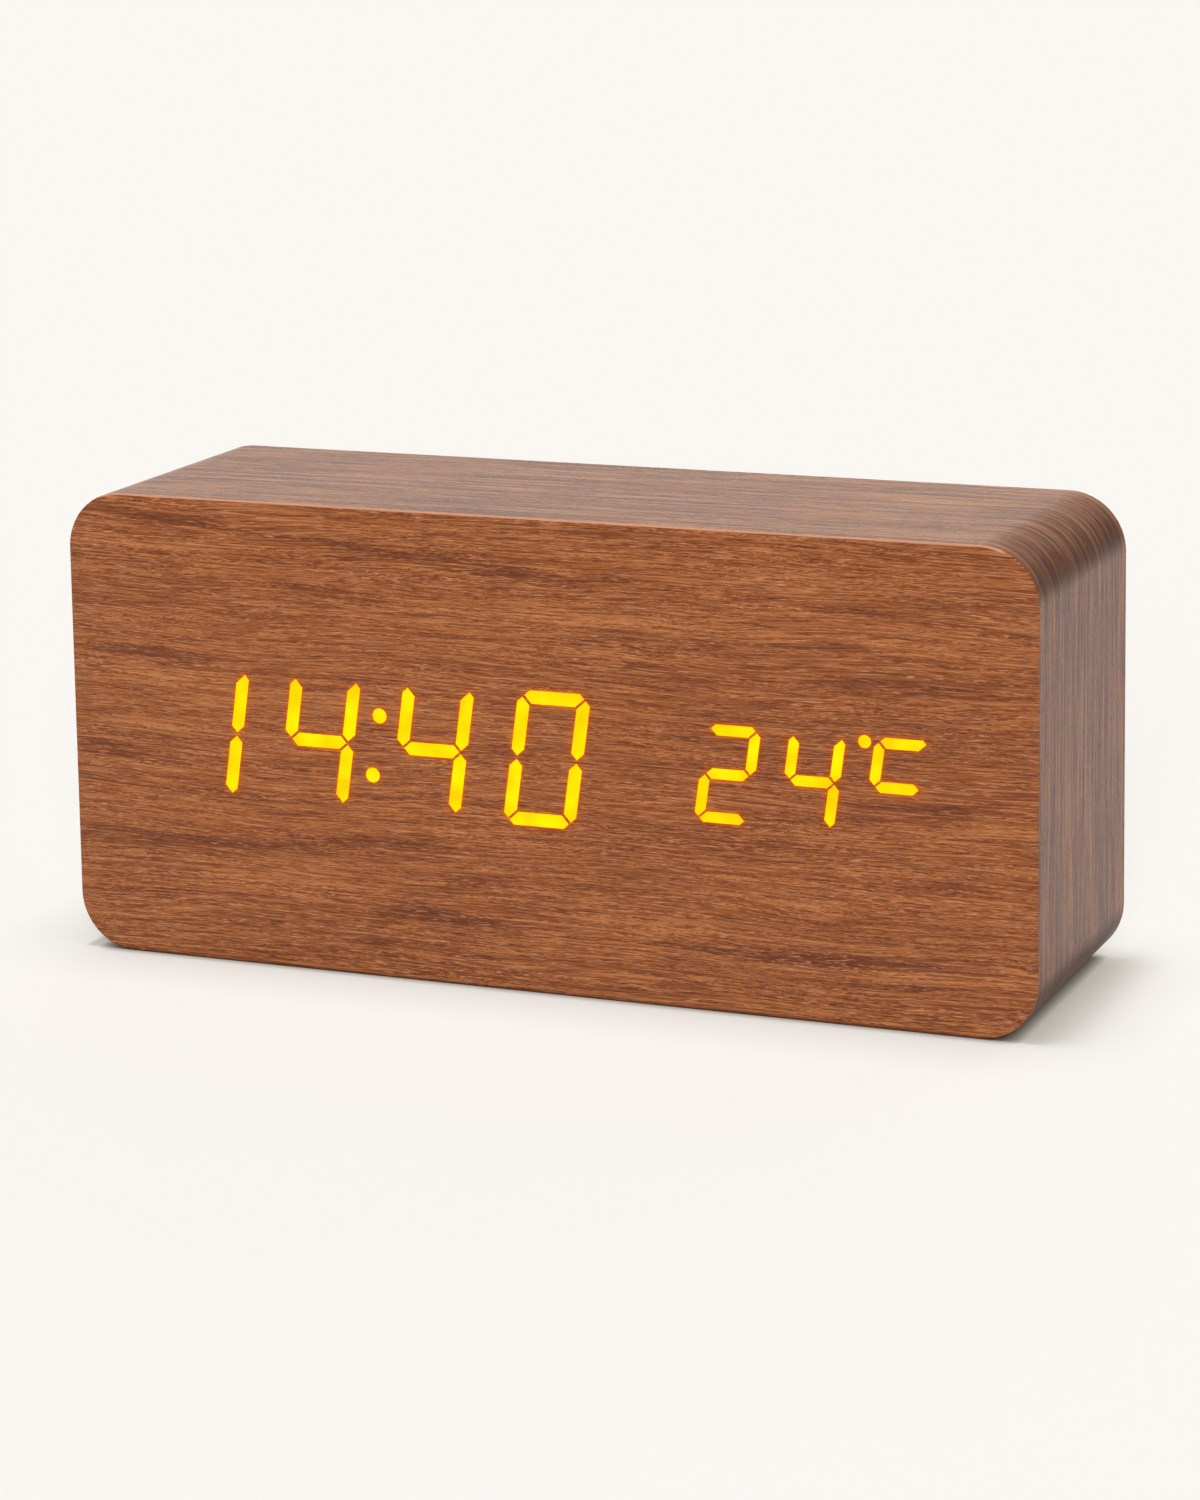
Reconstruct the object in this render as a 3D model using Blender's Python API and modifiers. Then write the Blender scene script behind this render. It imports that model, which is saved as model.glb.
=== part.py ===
"""Digital alarm clock: a veneered block with an LED display behind its front sheet.

Metres, +Z up. The origin is at the bottom centre of the block: X runs along the width,
-Y is the front, +Y is the back.
"""

import math

import bmesh
import bpy
from mathutils import Vector

# Block
CASE_WIDTH = 0.150
CASE_DEPTH = 0.045
CASE_HEIGHT = 0.070
CASE_CORNER_RADIUS = 0.0086
SHEET = 0.0006
WRAP = 0.0005
SHEET_EASE = 0.00025
CASE_WALL = 0.0055
CAVITY_CORNER_RADIUS = 0.003
FACE_BOARD = 0.0035
POST_SIDE = 0.007

# Fits
CLEARANCE = 0.0003
WINDOW_CLEARANCE = 0.00005
STUB_CLEARANCE = 0.0001
SEAM = 0.00005
OVERRUN = 0.001
EMBED = 0.0003
WELD = 0.000001

# Display: bars of the large and the small digits, whose width follows the case's
MIDLINE_SHARE = 0.498
LEAN = math.radians(8.2)
BIG_COLUMN_SHARE = 0.031
BIG_PITCH = 0.00904
BIG_STROKE = 0.0020
BIG_GAP = 0.00035
SMALL_COLUMN_SHARE = 0.0225
SMALL_PITCH = 0.00637
SMALL_STROKE = 0.0016
SMALL_GAP = 0.0003
APEX_SHARE = 0.375
COLON_DIAMETER = 0.0023
COLON_RISE = 0.00448
DEGREE_DIAMETER = 0.00195
DEGREE_REACH = 0.00224
BIG_PLACE_SHARES = (-0.3500, -0.2293, -0.1087, 0.0120)
COLON_PLACE_SHARE = -0.1679
SMALL_PLACE_SHARES = (0.1966, 0.2805, 0.3641)
BIG_LIT = ("bc", "bcfg", "bcfg", "abcdef")
SMALL_LIT = ("abdeg", "bcfg", "afg")
# Both ends of each bar, as shares of a digit's column and pitch, with the outer side on the left
BAR_END_SHARES = {
    "a": ((-1, 1), (1, 1)),
    "b": ((1, 1), (1, 0)),
    "c": ((1, 0), (1, -1)),
    "d": ((1, -1), (-1, -1)),
    "e": ((-1, -1), (-1, 0)),
    "f": ((-1, 0), (-1, 1)),
    "g": ((-1, 0), (1, 0)),
}

# Display stack
LENS_SHEET = 0.0006
PAD_RECESS = 0.00005
MASK_DEPTH = 0.0078
MASK_MARGIN = 0.0022
MASK_FLANGE = 0.004
MASK_FLANGE_THICKNESS = 0.0015
MASK_BOSS_RADIUS = 0.0018
CIRCUIT_BOARD = 0.0016
LED_SIDE = 0.0008
LED_HEIGHT = 0.0006

# Screws
SCREW_RADIUS = 0.0009
SCREW_HEAD_RADIUS = 0.0017
SCREW_HEAD_HEIGHT = 0.0012
PAN_TOP_SHARE = 0.7
SCREW_BITE = 0.0022
BACK_SCREW_RADIUS = 0.0012
BACK_SCREW_HEAD_RADIUS = 0.0024
BACK_SCREW_HEAD_HEIGHT = 0.0018
BACK_SCREW_LENGTH = 0.011
BACK_SCREW_RECESS = 0.0002
CROSS_WIDTH = 0.0007
CROSS_REACH_SHARE = 0.6
CROSS_DEPTH = 0.0008

# Pieces on the back of the display board, placed as shares of the case's width and height
CHIP_LENGTH = 0.013
CHIP_HEIGHT = 0.0075
CHIP_THICKNESS = 0.0023
CHIP_LEG = 0.0010
CHIP_LEG_WIDTH = 0.00045
CHIP_LEGS_PER_SIDE = 8
CHIP_PLACE_SHARES = (0.03, 0.56)
CRYSTAL_LENGTH = 0.0110
CRYSTAL_HEIGHT = 0.0045
CRYSTAL_THICKNESS = 0.0035
CRYSTAL_ROUND_SHARE = 0.9
CRYSTAL_PLACE_SHARES = (0.03, 0.42)
COIN_RADIUS = 0.010
COIN_THICKNESS = 0.0032
COIN_EASE = 0.0005
HOLDER_WALL = 0.0012
HOLDER_FLOOR = 0.0010
HOLDER_NOTCH = 0.009
COIN_PLACE_SHARES = (-0.28, 0.5)
BUZZER_RADIUS = 0.006
BUZZER_HEIGHT = 0.0065
BUZZER_HOLE_RADIUS = 0.001
BUZZER_HOLE_DEPTH = 0.003
BUZZER_PLACE_SHARES = (-0.13, 0.48)
MICROPHONE_RADIUS = 0.003
MICROPHONE_HEIGHT = 0.0034
MICROPHONE_FELT_DEPTH = 0.0004
MICROPHONE_PLACE_SHARES = (0.385, 0.60)
THERMISTOR_BEAD_RADIUS = 0.0012
THERMISTOR_LEG_RADIUS = 0.00025
THERMISTOR_LEG_LENGTH = 0.004
THERMISTOR_LEG_SPREAD = 0.0006
THERMISTOR_PLACE_SHARES = (0.385, 0.40)

# Openings in the back, and the width left free beside each, as a share of all that is free
INSET_RECESS = 0.0003
INSET_RISE_SHARE = 0.5
TRAY_SIDE_SHARE = 0.176
PANEL_SIDE_SHARE = 0.205
EAR_WIDTH = 0.009
EAR_REACH = 0.0048
EAR_THICKNESS = 0.0016

# Control panel and key board
PANEL_WIDTH = 0.054
PANEL_HEIGHT = 0.024
PANEL_WALL = 0.0015
PANEL_CORNER_RADIUS = 0.002
PANEL_RECESS = 0.0020
PANEL_FLOOR = 0.0016
BUTTON_RADIUS = 0.0028
BUTTON_PROUD = 0.0014
BUTTON_DISH = 0.0003
BUTTON_LIP = 0.0008
BUTTON_FLANGE = 0.0008
BUTTON_STEM_RADIUS = 0.0012
BUTTON_STEM = 0.0008
BUTTON_TRAVEL = 0.0005
TACT_SIDE = 0.006
TACT_HEIGHT = 0.0035
PLUNGER_RADIUS = 0.0015
PLUNGER_PROUD = 0.0007
PLUNGER_SEAT = 0.0008
SLIDE_LENGTH = 0.0086
SLIDE_HEIGHT = 0.0037
SLIDE_THICKNESS = 0.0035
SLIDE_SEAT = 0.0010
SLIDE_TRAVEL = 0.0020
KNOB_LENGTH = 0.0020
KNOB_HEIGHT = 0.0015
KNOB_PROUD = 0.0010
JACK_SIDE = 0.0080
JACK_NOSE_RADIUS = 0.0032
JACK_NOSE_PROUD = 0.0008
JACK_BORE_RADIUS = 0.00185
JACK_BORE_DEPTH = 0.0070
JACK_PIN_RADIUS = 0.00065
JACK_PIN_RECESS = 0.0010
KEY_BOSS_PLACE_SHARE = 0.40
KEY_BOSS_RADIUS = 0.0021
KEY_BOARD_MARGIN = 0.0025
# The gap on each control's lower x side, as a share of the width that the controls leave free
CONTROL_GAP_SHARES = {"jack": 0.16, "slide": 0.07, "down": 0.015, "up": 0.155, "set": 0.24}
BUTTON_NAMES = ("set", "up", "down")

# Battery tray, cells and door
CELL_COUNT = 3
CELL_RADIUS = 0.00525
CELL_LENGTH = 0.0437
CELL_NUB_RADIUS = 0.0019
CELL_NUB_LENGTH = 0.0008
CELL_EASE = 0.0004
CELL_SPACING = 0.0006
SPRING_LENGTH = 0.0045
SPRING_WIRE_RADIUS = 0.0003
SPRING_FOOT_RADIUS = 0.0030
SPRING_TIP_RADIUS = 0.0016
SPRING_TURNS = 4
SPRING_POINTS_PER_TURN = 9
CONTACT_SIDE = 0.0075
CONTACT_THICKNESS = 0.0004
CONTACT_BUMP_RADIUS = 0.0016
CONTACT_BUMP_HEIGHT = 0.0004
TRAY_ROOF = 0.0012
TRAY_LEDGE = 0.0010
TRAY_RIM = 0.0013
TRAY_RIB_WIDTH = 0.0012
TRAY_RIB_HEIGHT = 0.0016
DOOR_THICKNESS = 0.0016
DOOR_STUB_RADIUS = 0.0005
DOOR_STUB_LENGTH = 0.0008
LATCH_WIDTH = 0.010
LATCH_THICKNESS = 0.0008
LATCH_REACH = 0.0020
GRIP_COUNT = 4
GRIP_LENGTH = 0.012
GRIP_WIDTH = 0.0007
GRIP_PITCH = 0.0016
GRIP_DEPTH = 0.0004
GRIP_EDGE = 0.0030

# Wiring
RIBBON_WIDTH = 0.008
RIBBON_THICKNESS = 0.0008
# About the panel's middle, as shares of the panel's width and height
RIBBON_PLACE_SHARES = (-0.055, 0.12)
RIBBON_DROP = 0.003
RIBBON_STEPS = 12
WIRE_RADIUS = 0.0006
WIRE_STEPS = 14
# Tray end as shares of the tray's sizes from its low corner, and board end as shares of the case's
WIRE_TRAY_SHARES = {"red_wire": (0.88, 0.795), "black_wire": (0.88, 0.205)}
WIRE_BOARD_SHARES = {"red_wire": (-0.055, 0.62), "black_wire": (-0.055, 0.40)}

# Fineness of round shapes
CORNER_STEPS = 7
SMALL_CORNER_STEPS = 3
ROUND_SIDES = 20
SMALL_SIDES = 10
DOT_SIDES = 12
BEAD_RINGS = 6
SHARP_ANGLE = math.radians(35)

# Places worked out from the sizes above
FRONT = -CASE_DEPTH / 2
BACK = CASE_DEPTH / 2
MIDLINE = CASE_HEIGHT * MIDLINE_SHARE
BIG_COLUMN = CASE_WIDTH * BIG_COLUMN_SHARE
SMALL_COLUMN = CASE_WIDTH * SMALL_COLUMN_SHARE
BUTTON_FLANGE_RADIUS = BUTTON_RADIUS + BUTTON_LIP
BOARD_FRONT = FRONT + SHEET + CLEARANCE
BOARD_BACK = BOARD_FRONT + FACE_BOARD
REAR_BOARD_BACK = BACK - SHEET - CLEARANCE
REAR_BOARD_FRONT = REAR_BOARD_BACK - FACE_BOARD
CASE_SHELL = WRAP + CLEARANCE
CAVITY_INSET = CASE_SHELL + CASE_WALL
LENS_BACK = BOARD_FRONT + LENS_SHEET
MASK_FRONT = LENS_BACK + CLEARANCE
MASK_BACK = MASK_FRONT + MASK_DEPTH
FLANGE_FRONT = BOARD_BACK + CLEARANCE
DISPLAY_FRONT = MASK_BACK + CLEARANCE
DISPLAY_BACK = DISPLAY_FRONT + CIRCUIT_BOARD
PART_SEAT = DISPLAY_BACK + CLEARANCE
INSET_BACK = BACK - INSET_RECESS
EAR_BACK = REAR_BOARD_FRONT - CLEARANCE
EAR_FRONT = EAR_BACK - EAR_THICKNESS
FLOOR_BACK = INSET_BACK - PANEL_RECESS
FLOOR_FRONT = FLOOR_BACK - PANEL_FLOOR
BUTTON_FLANGE_BACK = FLOOR_FRONT - CLEARANCE
STEM_FRONT = BUTTON_FLANGE_BACK - BUTTON_FLANGE - BUTTON_STEM
PLUNGER_BACK = STEM_FRONT - CLEARANCE
TACT_BACK = PLUNGER_BACK - PLUNGER_PROUD
KEY_SEAT = TACT_BACK - TACT_HEIGHT
KEY_BACK = KEY_SEAT - CLEARANCE
KEY_FRONT = KEY_BACK - CIRCUIT_BOARD
DOOR_FRONT = INSET_BACK - DOOR_THICKNESS
CELL_AXIS = DOOR_FRONT - CLEARANCE - CELL_RADIUS
ROOF_BACK = CELL_AXIS - CELL_RADIUS - CLEARANCE
TRAY_FRONT = ROOF_BACK - TRAY_ROOF
CELL_PITCH = 2 * CELL_RADIUS + CELL_SPACING
CAVITY_HEIGHT = CELL_COUNT * CELL_PITCH
CONTACT_ROOM = CONTACT_THICKNESS + CONTACT_BUMP_HEIGHT + 2 * CLEARANCE
SPRING_ROOM = SPRING_LENGTH + 2 * CLEARANCE
CAVITY_LENGTH = CELL_LENGTH + CELL_NUB_LENGTH + CONTACT_ROOM + SPRING_ROOM


def empty_scene():
    for thing in list(bpy.data.objects):
        bpy.data.objects.remove(thing, do_unlink=True)


def new_group(name):
    made = bpy.data.collections.new(name)
    bpy.context.scene.collection.children.link(made)
    return made


empty_scene()
PARTS = new_group("digital_alarm_clock")
CUTTERS = new_group("cutters")


def paint(name, color, roughness, metallic=0, emission=0):
    made = bpy.data.materials.new(name)
    made.use_nodes = True
    made.diffuse_color = (*color, 1)
    shader = made.node_tree.nodes["Principled BSDF"]
    shader.inputs["Base Color"].default_value = (*color, 1)
    shader.inputs["Roughness"].default_value = roughness
    shader.inputs["Metallic"].default_value = metallic
    shader.inputs["Emission Color"].default_value = (*color, 1)
    shader.inputs["Emission Strength"].default_value = emission
    return made


VENEER = paint("veneer", (0.32, 0.11, 0.045), 0.45)
FIBREBOARD = paint("fibreboard", (0.42, 0.27, 0.15), 0.85)
LIT_LENS = paint("lit_lens", (1.0, 0.78, 0.02), 0.35, emission=1)
BLACK_PLASTIC = paint("black_plastic", (0.02, 0.02, 0.022), 0.5)
BUTTON_PLASTIC = paint("button_plastic", (0.05, 0.05, 0.055), 0.4)
CIRCUIT_GREEN = paint("circuit_board", (0.02, 0.13, 0.05), 0.4)
CHIP_BLACK = paint("chip_resin", (0.015, 0.015, 0.015), 0.6)
STEEL = paint("steel", (0.55, 0.55, 0.53), 0.3, 1)
DARK_STEEL = paint("dark_steel", (0.07, 0.07, 0.075), 0.4, 1)
CELL_SLEEVE = paint("cell_sleeve", (0.10, 0.12, 0.15), 0.35)
RIBBON_GREY = paint("ribbon_grey", (0.45, 0.45, 0.46), 0.6)
RED_SLEEVE = paint("red_sleeve", (0.55, 0.02, 0.02), 0.45)
BLACK_SLEEVE = paint("black_sleeve", (0.015, 0.015, 0.015), 0.45)


def add_mesh(name, shape, surface, place):
    """An object in the parts, or a hidden cutter where no surface is given."""
    bmesh.ops.recalc_face_normals(shape, faces=shape.faces)
    mesh = bpy.data.meshes.new(name)
    shape.to_mesh(mesh)
    shape.free()
    mesh.shade_smooth()
    mesh.set_sharp_from_angle(angle=SHARP_ANGLE)
    thing = bpy.data.objects.new(name, mesh)
    thing.location = place
    if surface is None:
        CUTTERS.objects.link(thing)
        thing.hide_render = True
        thing.display_type = "WIRE"
    else:
        PARTS.objects.link(thing)
        mesh.materials.append(surface)
    return thing


def block(name, low, high, surface=None, radius=0, along=1, steps=SMALL_CORNER_STEPS, ease=0):
    """A box between two corners. The four edges along one axis are rounded, the front rim eased."""
    low, high = Vector(low), Vector(high)
    size = high - low
    shape = bmesh.new()
    bmesh.ops.create_cube(shape, size=1)
    bmesh.ops.scale(shape, vec=size, verts=shape.verts)
    if radius:
        others = [axis for axis in range(3) if axis != along]
        edges = [
            edge
            for edge in shape.edges
            if all(edge.verts[0].co[axis] == edge.verts[1].co[axis] for axis in others)
        ]
        bmesh.ops.bevel(
            shape, geom=edges, offset=radius, segments=steps, profile=0.5, affect="EDGES"
        )
    if ease:
        rim = [edge for edge in shape.edges if all(v.co.y < 0 for v in edge.verts)]
        bmesh.ops.bevel(shape, geom=rim, offset=ease, segments=2, profile=0.5, affect="EDGES")
    return add_mesh(name, shape, surface, (low + high) / 2)


def rod(name, radius, start, end, surface=None, sides=ROUND_SIDES, end_radius=None):
    """A cylinder or a cone between two points."""
    start, end = Vector(start), Vector(end)
    shape = bmesh.new()
    bmesh.ops.create_cone(
        shape,
        cap_ends=True,
        segments=sides,
        radius1=radius,
        radius2=radius if end_radius is None else end_radius,
        depth=(end - start).length,
    )
    thing = add_mesh(name, shape, surface, (start + end) / 2)
    thing.rotation_mode = "QUATERNION"
    thing.rotation_quaternion = (end - start).to_track_quat("Z", "Y")
    return thing


def sphere(name, radius, centre, surface=None):
    shape = bmesh.new()
    bmesh.ops.create_uvsphere(shape, u_segments=SMALL_SIDES, v_segments=BEAD_RINGS, radius=radius)
    return add_mesh(name, shape, surface, centre)


def as_mesh(thing, surface):
    """The object with its modifiers or its curve made into a plain welded mesh, at its place."""
    bpy.context.view_layer.update()
    evaluated = thing.evaluated_get(bpy.context.evaluated_depsgraph_get())
    mesh = bpy.data.meshes.new_from_object(evaluated)
    shape = bmesh.new()
    shape.from_mesh(mesh)
    bpy.data.meshes.remove(mesh)
    bmesh.ops.remove_doubles(shape, verts=shape.verts, dist=WELD)
    made = add_mesh("solid", shape, surface, (0, 0, 0))
    made.matrix_world = thing.matrix_world
    name = thing.name
    bpy.data.objects.remove(thing, do_unlink=True)
    made.name = name
    made.data.name = name
    return made


def turned(name, profile, place, direction, surface=None, sides=ROUND_SIDES):
    """A solid turned from (radius, height) points that run down its outer side."""
    shape = bmesh.new()
    corners = [shape.verts.new((radius, 0, height)) for radius, height in profile]
    for upper, lower in zip(corners, corners[1:]):
        shape.edges.new((upper, lower))
    thing = add_mesh(name, shape, surface, place)
    screw = thing.modifiers.new("turn", "SCREW")
    screw.steps = sides
    screw.render_steps = sides
    screw.use_merge_vertices = True
    screw.merge_threshold = WELD
    thing.rotation_mode = "QUATERNION"
    thing.rotation_quaternion = Vector(direction).to_track_quat("Z", "Y")
    return as_mesh(thing, surface)


def prisms(name, outlines, front, back, surface=None):
    """Flat outlines of (x, z) points, extruded from the front plane to the back plane."""
    curve = bpy.data.curves.new(name, "CURVE")
    curve.dimensions = "2D"
    curve.fill_mode = "BOTH"
    curve.extrude = (back - front) / 2
    for outline in outlines:
        spline = curve.splines.new("POLY")
        spline.points.add(len(outline) - 1)
        for point, (x, z) in zip(spline.points, outline):
            point.co = (x, z, 0, 1)
        spline.use_cyclic_u = True
    thing = bpy.data.objects.new(name, curve)
    (CUTTERS if surface is None else PARTS).objects.link(thing)
    thing.location = (0, (front + back) / 2, 0)
    thing.rotation_euler = (math.radians(90), 0, 0)
    return as_mesh(thing, surface)


def tube(name, points, radius, surface, fineness=1, twist="MINIMUM"):
    """A wire along its points, with flat ends."""
    curve = bpy.data.curves.new(name, "CURVE")
    curve.dimensions = "3D"
    curve.twist_mode = twist
    curve.bevel_depth = radius
    curve.bevel_resolution = fineness
    curve.use_fill_caps = True
    spline = curve.splines.new("POLY")
    spline.points.add(len(points) - 1)
    for point, place in zip(spline.points, points):
        point.co = (*place, 1)
    thing = bpy.data.objects.new(name, curve)
    PARTS.objects.link(thing)
    return as_mesh(thing, surface)


def combine(thing, operation, tools):
    for tool in tools:
        modifier = thing.modifiers.new(operation.lower(), "BOOLEAN")
        modifier.operation = operation
        modifier.solver = "EXACT"
        modifier.object = tool
    return thing


def cut(thing, *tools):
    return combine(thing, "DIFFERENCE", tools)


def fuse(thing, *tools):
    return combine(thing, "UNION", tools)


def set_origin(thing, point):
    """Moves the object's origin to a point, and leaves its shape where it is."""
    point = Vector(point)
    bpy.context.view_layer.update()
    for vertex in thing.data.vertices:
        vertex.co = thing.matrix_world @ vertex.co - point
    thing.rotation_quaternion = (1, 0, 0, 0)
    thing.location = point
    return thing


def place_of(shares):
    """The (x, z) point at shares of the case's width and height."""
    return CASE_WIDTH * shares[0], CASE_HEIGHT * shares[1]


# Bars and dots of the display


def bar_outline(span, apexes, half, slack):
    """Six points of a bar along s, from its inner side at -t round to its outer side at +t."""

    def end(apex):
        tip = slack - half + apex
        return [(slack + half, -half), (tip, half - apex), (tip + apex, half)]

    first, last = (end(apex) for apex in apexes)
    return first + [(span - s, t) for s, t in reversed(last)]


def digit_outlines(centre, column, pitch, stroke, gap, letters, grow):
    """Outlines of a digit's bars in the front plane, by letter."""
    half = stroke / 2 + grow
    slack = (gap - 2 * grow) / math.sqrt(2)
    corner = stroke * APEX_SHARE + grow
    found = []
    for letter in letters:
        start, stop = (Vector((column * u, pitch * v)) for u, v in BAR_END_SHARES[letter])
        ahead = (stop - start).normalized()
        outward = Vector((-ahead.y, ahead.x))
        apexes = [half if share[1] == 0 else corner for share in BAR_END_SHARES[letter]]
        points = bar_outline((stop - start).length, apexes, half, slack)
        found.append([leaned(centre, start + ahead * s + outward * t) for s, t in points])
    return found


def leaned(centre, point):
    """A point about a digit's middle, leaned over and put in the front plane."""
    return (centre + point[0] + point[1] * math.tan(LEAN), MIDLINE + point[1])


def dot_outline(centre, point, diameter, grow):
    middle = leaned(centre, point)
    radius = diameter / 2 + grow
    turns = [2 * math.pi * step / DOT_SIDES for step in range(DOT_SIDES)]
    return [(middle[0] + radius * math.cos(t), middle[1] + radius * math.sin(t)) for t in turns]


def display_outlines(grow, lit_only):
    """Every bar and dot of the display, or only the lit ones."""
    found = []
    every = "".join(BAR_END_SHARES)
    for share, lit in zip(BIG_PLACE_SHARES, BIG_LIT):
        letters = lit if lit_only else every
        sizes = (BIG_COLUMN, BIG_PITCH, BIG_STROKE, BIG_GAP)
        found += digit_outlines(CASE_WIDTH * share, *sizes, letters, grow)
    for share, lit in zip(SMALL_PLACE_SHARES, SMALL_LIT):
        letters = lit if lit_only else every
        sizes = (SMALL_COLUMN, SMALL_PITCH, SMALL_STROKE, SMALL_GAP)
        found += digit_outlines(CASE_WIDTH * share, *sizes, letters, grow)
    for side in (-1, 1):
        colon = CASE_WIDTH * COLON_PLACE_SHARE
        found.append(dot_outline(colon, (0, side * COLON_RISE), COLON_DIAMETER, grow))
    last_digit = CASE_WIDTH * SMALL_PLACE_SHARES[-1]
    corner = (-SMALL_COLUMN - DEGREE_REACH, SMALL_PITCH)
    found.append(dot_outline(last_digit, corner, DEGREE_DIAMETER, grow))
    return found


WELLS = display_outlines(0, lit_only=False)
MASK_X = max(abs(x) for outline in WELLS for x, z in outline) + MASK_MARGIN
MASK_Z = max(abs(z - MIDLINE) for outline in WELLS for x, z in outline) + MASK_MARGIN
BOARD_X = MASK_X + MASK_FLANGE
BOARD_Z = MASK_Z + MASK_FLANGE
BOARD_SCREW_PLACES = [
    (side * (MASK_X + MASK_FLANGE / 2), MIDLINE + rise * (MASK_Z + MASK_FLANGE / 2))
    for side in (-1, 1)
    for rise in (-1, 1)
]
POST_X = CASE_WIDTH / 2 - CAVITY_INSET - POST_SIDE / 2
POST_Z = CASE_HEIGHT / 2 - CAVITY_INSET - POST_SIDE / 2
POST_PLACES = [
    (side * POST_X, CASE_HEIGHT / 2 + rise * POST_Z) for side in (-1, 1) for rise in (-1, 1)
]


def across(inset, front, back):
    """Low and high corners of the case's outline, drawn in by an inset, between two planes."""
    side = CASE_WIDTH / 2 - inset
    return (-side, front, inset), (side, back, CASE_HEIGHT - inset)


def around(centre, half_width, half_height, front, back):
    """Low and high corners of a box round an (x, z) point, between two planes."""
    x, z = centre
    return (x - half_width, front, z - half_height), (x + half_width, back, z + half_height)


# Screws


def pan_screw(name, place, head_seat, tip, surface=DARK_STEEL):
    """A screw along Y, whose pan head sits against head_seat and whose shank ends at tip."""
    x, z = place
    toward = math.copysign(1, head_seat - tip)
    length = abs(head_seat - tip)
    shoulder = SCREW_HEAD_HEIGHT / 2
    profile = [
        (0, SCREW_HEAD_HEIGHT),
        (SCREW_HEAD_RADIUS * PAN_TOP_SHARE, SCREW_HEAD_HEIGHT),
        (SCREW_HEAD_RADIUS, shoulder),
        (SCREW_HEAD_RADIUS, 0),
        (SCREW_RADIUS, 0),
        (SCREW_RADIUS, SCREW_RADIUS - length),
        (0, -length),
    ]
    return turned(name, profile, (x, head_seat, z), (0, toward, 0), surface, SMALL_SIDES)


def screw_hole(name, place, front, back):
    x, z = place
    return rod(name, SCREW_RADIUS + CLEARANCE, (x, front, z), (x, back, z), sides=SMALL_SIDES)


def countersunk_profile(grow, length):
    """Down the outer side of a countersunk screw, or of its hole where it is grown."""
    head = BACK_SCREW_HEAD_RADIUS + grow
    shank = BACK_SCREW_RADIUS + grow
    top = BACK_SCREW_RECESS + OVERRUN if grow else 0
    neck = BACK_SCREW_HEAD_RADIUS - BACK_SCREW_RADIUS
    rim = BACK_SCREW_HEAD_HEIGHT - neck
    return [(0, top), (head, top), (head, -rim), (shank, -rim - neck), (shank, -length), (0, -length)]


def back_screws():
    """Four countersunk screws through the back into the case's posts."""
    top = BACK - BACK_SCREW_RECESS
    for number, (x, z) in enumerate(POST_PLACES, start=1):
        profile = countersunk_profile(0, BACK_SCREW_LENGTH)
        made = turned(
            f"back_screw_{number}", profile, (x, top, z), (0, 1, 0), DARK_STEEL, SMALL_SIDES
        )
        reach = BACK_SCREW_HEAD_RADIUS * CROSS_REACH_SHARE
        depth = top - CROSS_DEPTH
        past = top + OVERRUN
        flat = block("cross", *around((x, z), reach, CROSS_WIDTH / 2, depth, past))
        upright = block("cross", *around((x, z), CROSS_WIDTH / 2, reach, depth, past))
        cut(made, fuse(flat, upright))


def back_screw_hole(place):
    """The hole of a countersunk screw, drilled a little deeper than the screw."""
    x, z = place
    profile = countersunk_profile(CLEARANCE, BACK_SCREW_LENGTH + CLEARANCE)
    top = BACK - BACK_SCREW_RECESS
    return turned("back_screw_hole", profile, (x, top, z), (0, 1, 0), sides=SMALL_SIDES)


# Case


def case_frame():
    """The routed sleeve, with a post in each corner for the back's screws."""
    rounding = CASE_CORNER_RADIUS - CASE_SHELL
    frame = block(
        "case_frame",
        *across(CASE_SHELL, BOARD_FRONT, REAR_BOARD_BACK),
        FIBREBOARD,
        rounding,
        steps=CORNER_STEPS,
    )
    low, high = across(CAVITY_INSET, BOARD_FRONT - OVERRUN, REAR_BOARD_BACK + OVERRUN)
    cut(frame, block("cavity", low, high, radius=CAVITY_CORNER_RADIUS))
    half = POST_SIDE / 2 + EMBED
    front = BOARD_BACK + CLEARANCE
    back = REAR_BOARD_FRONT - CLEARANCE
    for x, z in POST_PLACES:
        centre = (x + math.copysign(EMBED, x), z + math.copysign(EMBED, z - CASE_HEIGHT / 2))
        fuse(frame, block("post", *around(centre, half, half, front, back)))
    cut(frame, *(back_screw_hole(place) for place in POST_PLACES))


def side_veneer():
    """The veneer wrapped round the sleeve, between the front and the back sheets."""
    front = FRONT + SHEET + SEAM
    back = BACK - SHEET - SEAM
    wrap = block(
        "side_veneer", *across(0, front, back), VENEER, CASE_CORNER_RADIUS, steps=CORNER_STEPS
    )
    low, high = across(WRAP, front - OVERRUN, back + OVERRUN)
    cut(wrap, block("wrap_bore", low, high, radius=CASE_CORNER_RADIUS - WRAP, steps=CORNER_STEPS))


def front_veneer():
    """The front sheet. Its windows stand for the places where it is thin enough to shine."""
    sheet = block(
        "front_veneer",
        *across(0, FRONT, FRONT + SHEET),
        VENEER,
        CASE_CORNER_RADIUS,
        steps=CORNER_STEPS,
        ease=SHEET_EASE,
    )
    windows = display_outlines(WINDOW_CLEARANCE, lit_only=True)
    cut(sheet, prisms("windows", windows, FRONT - OVERRUN, FRONT + SHEET + OVERRUN))


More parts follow.
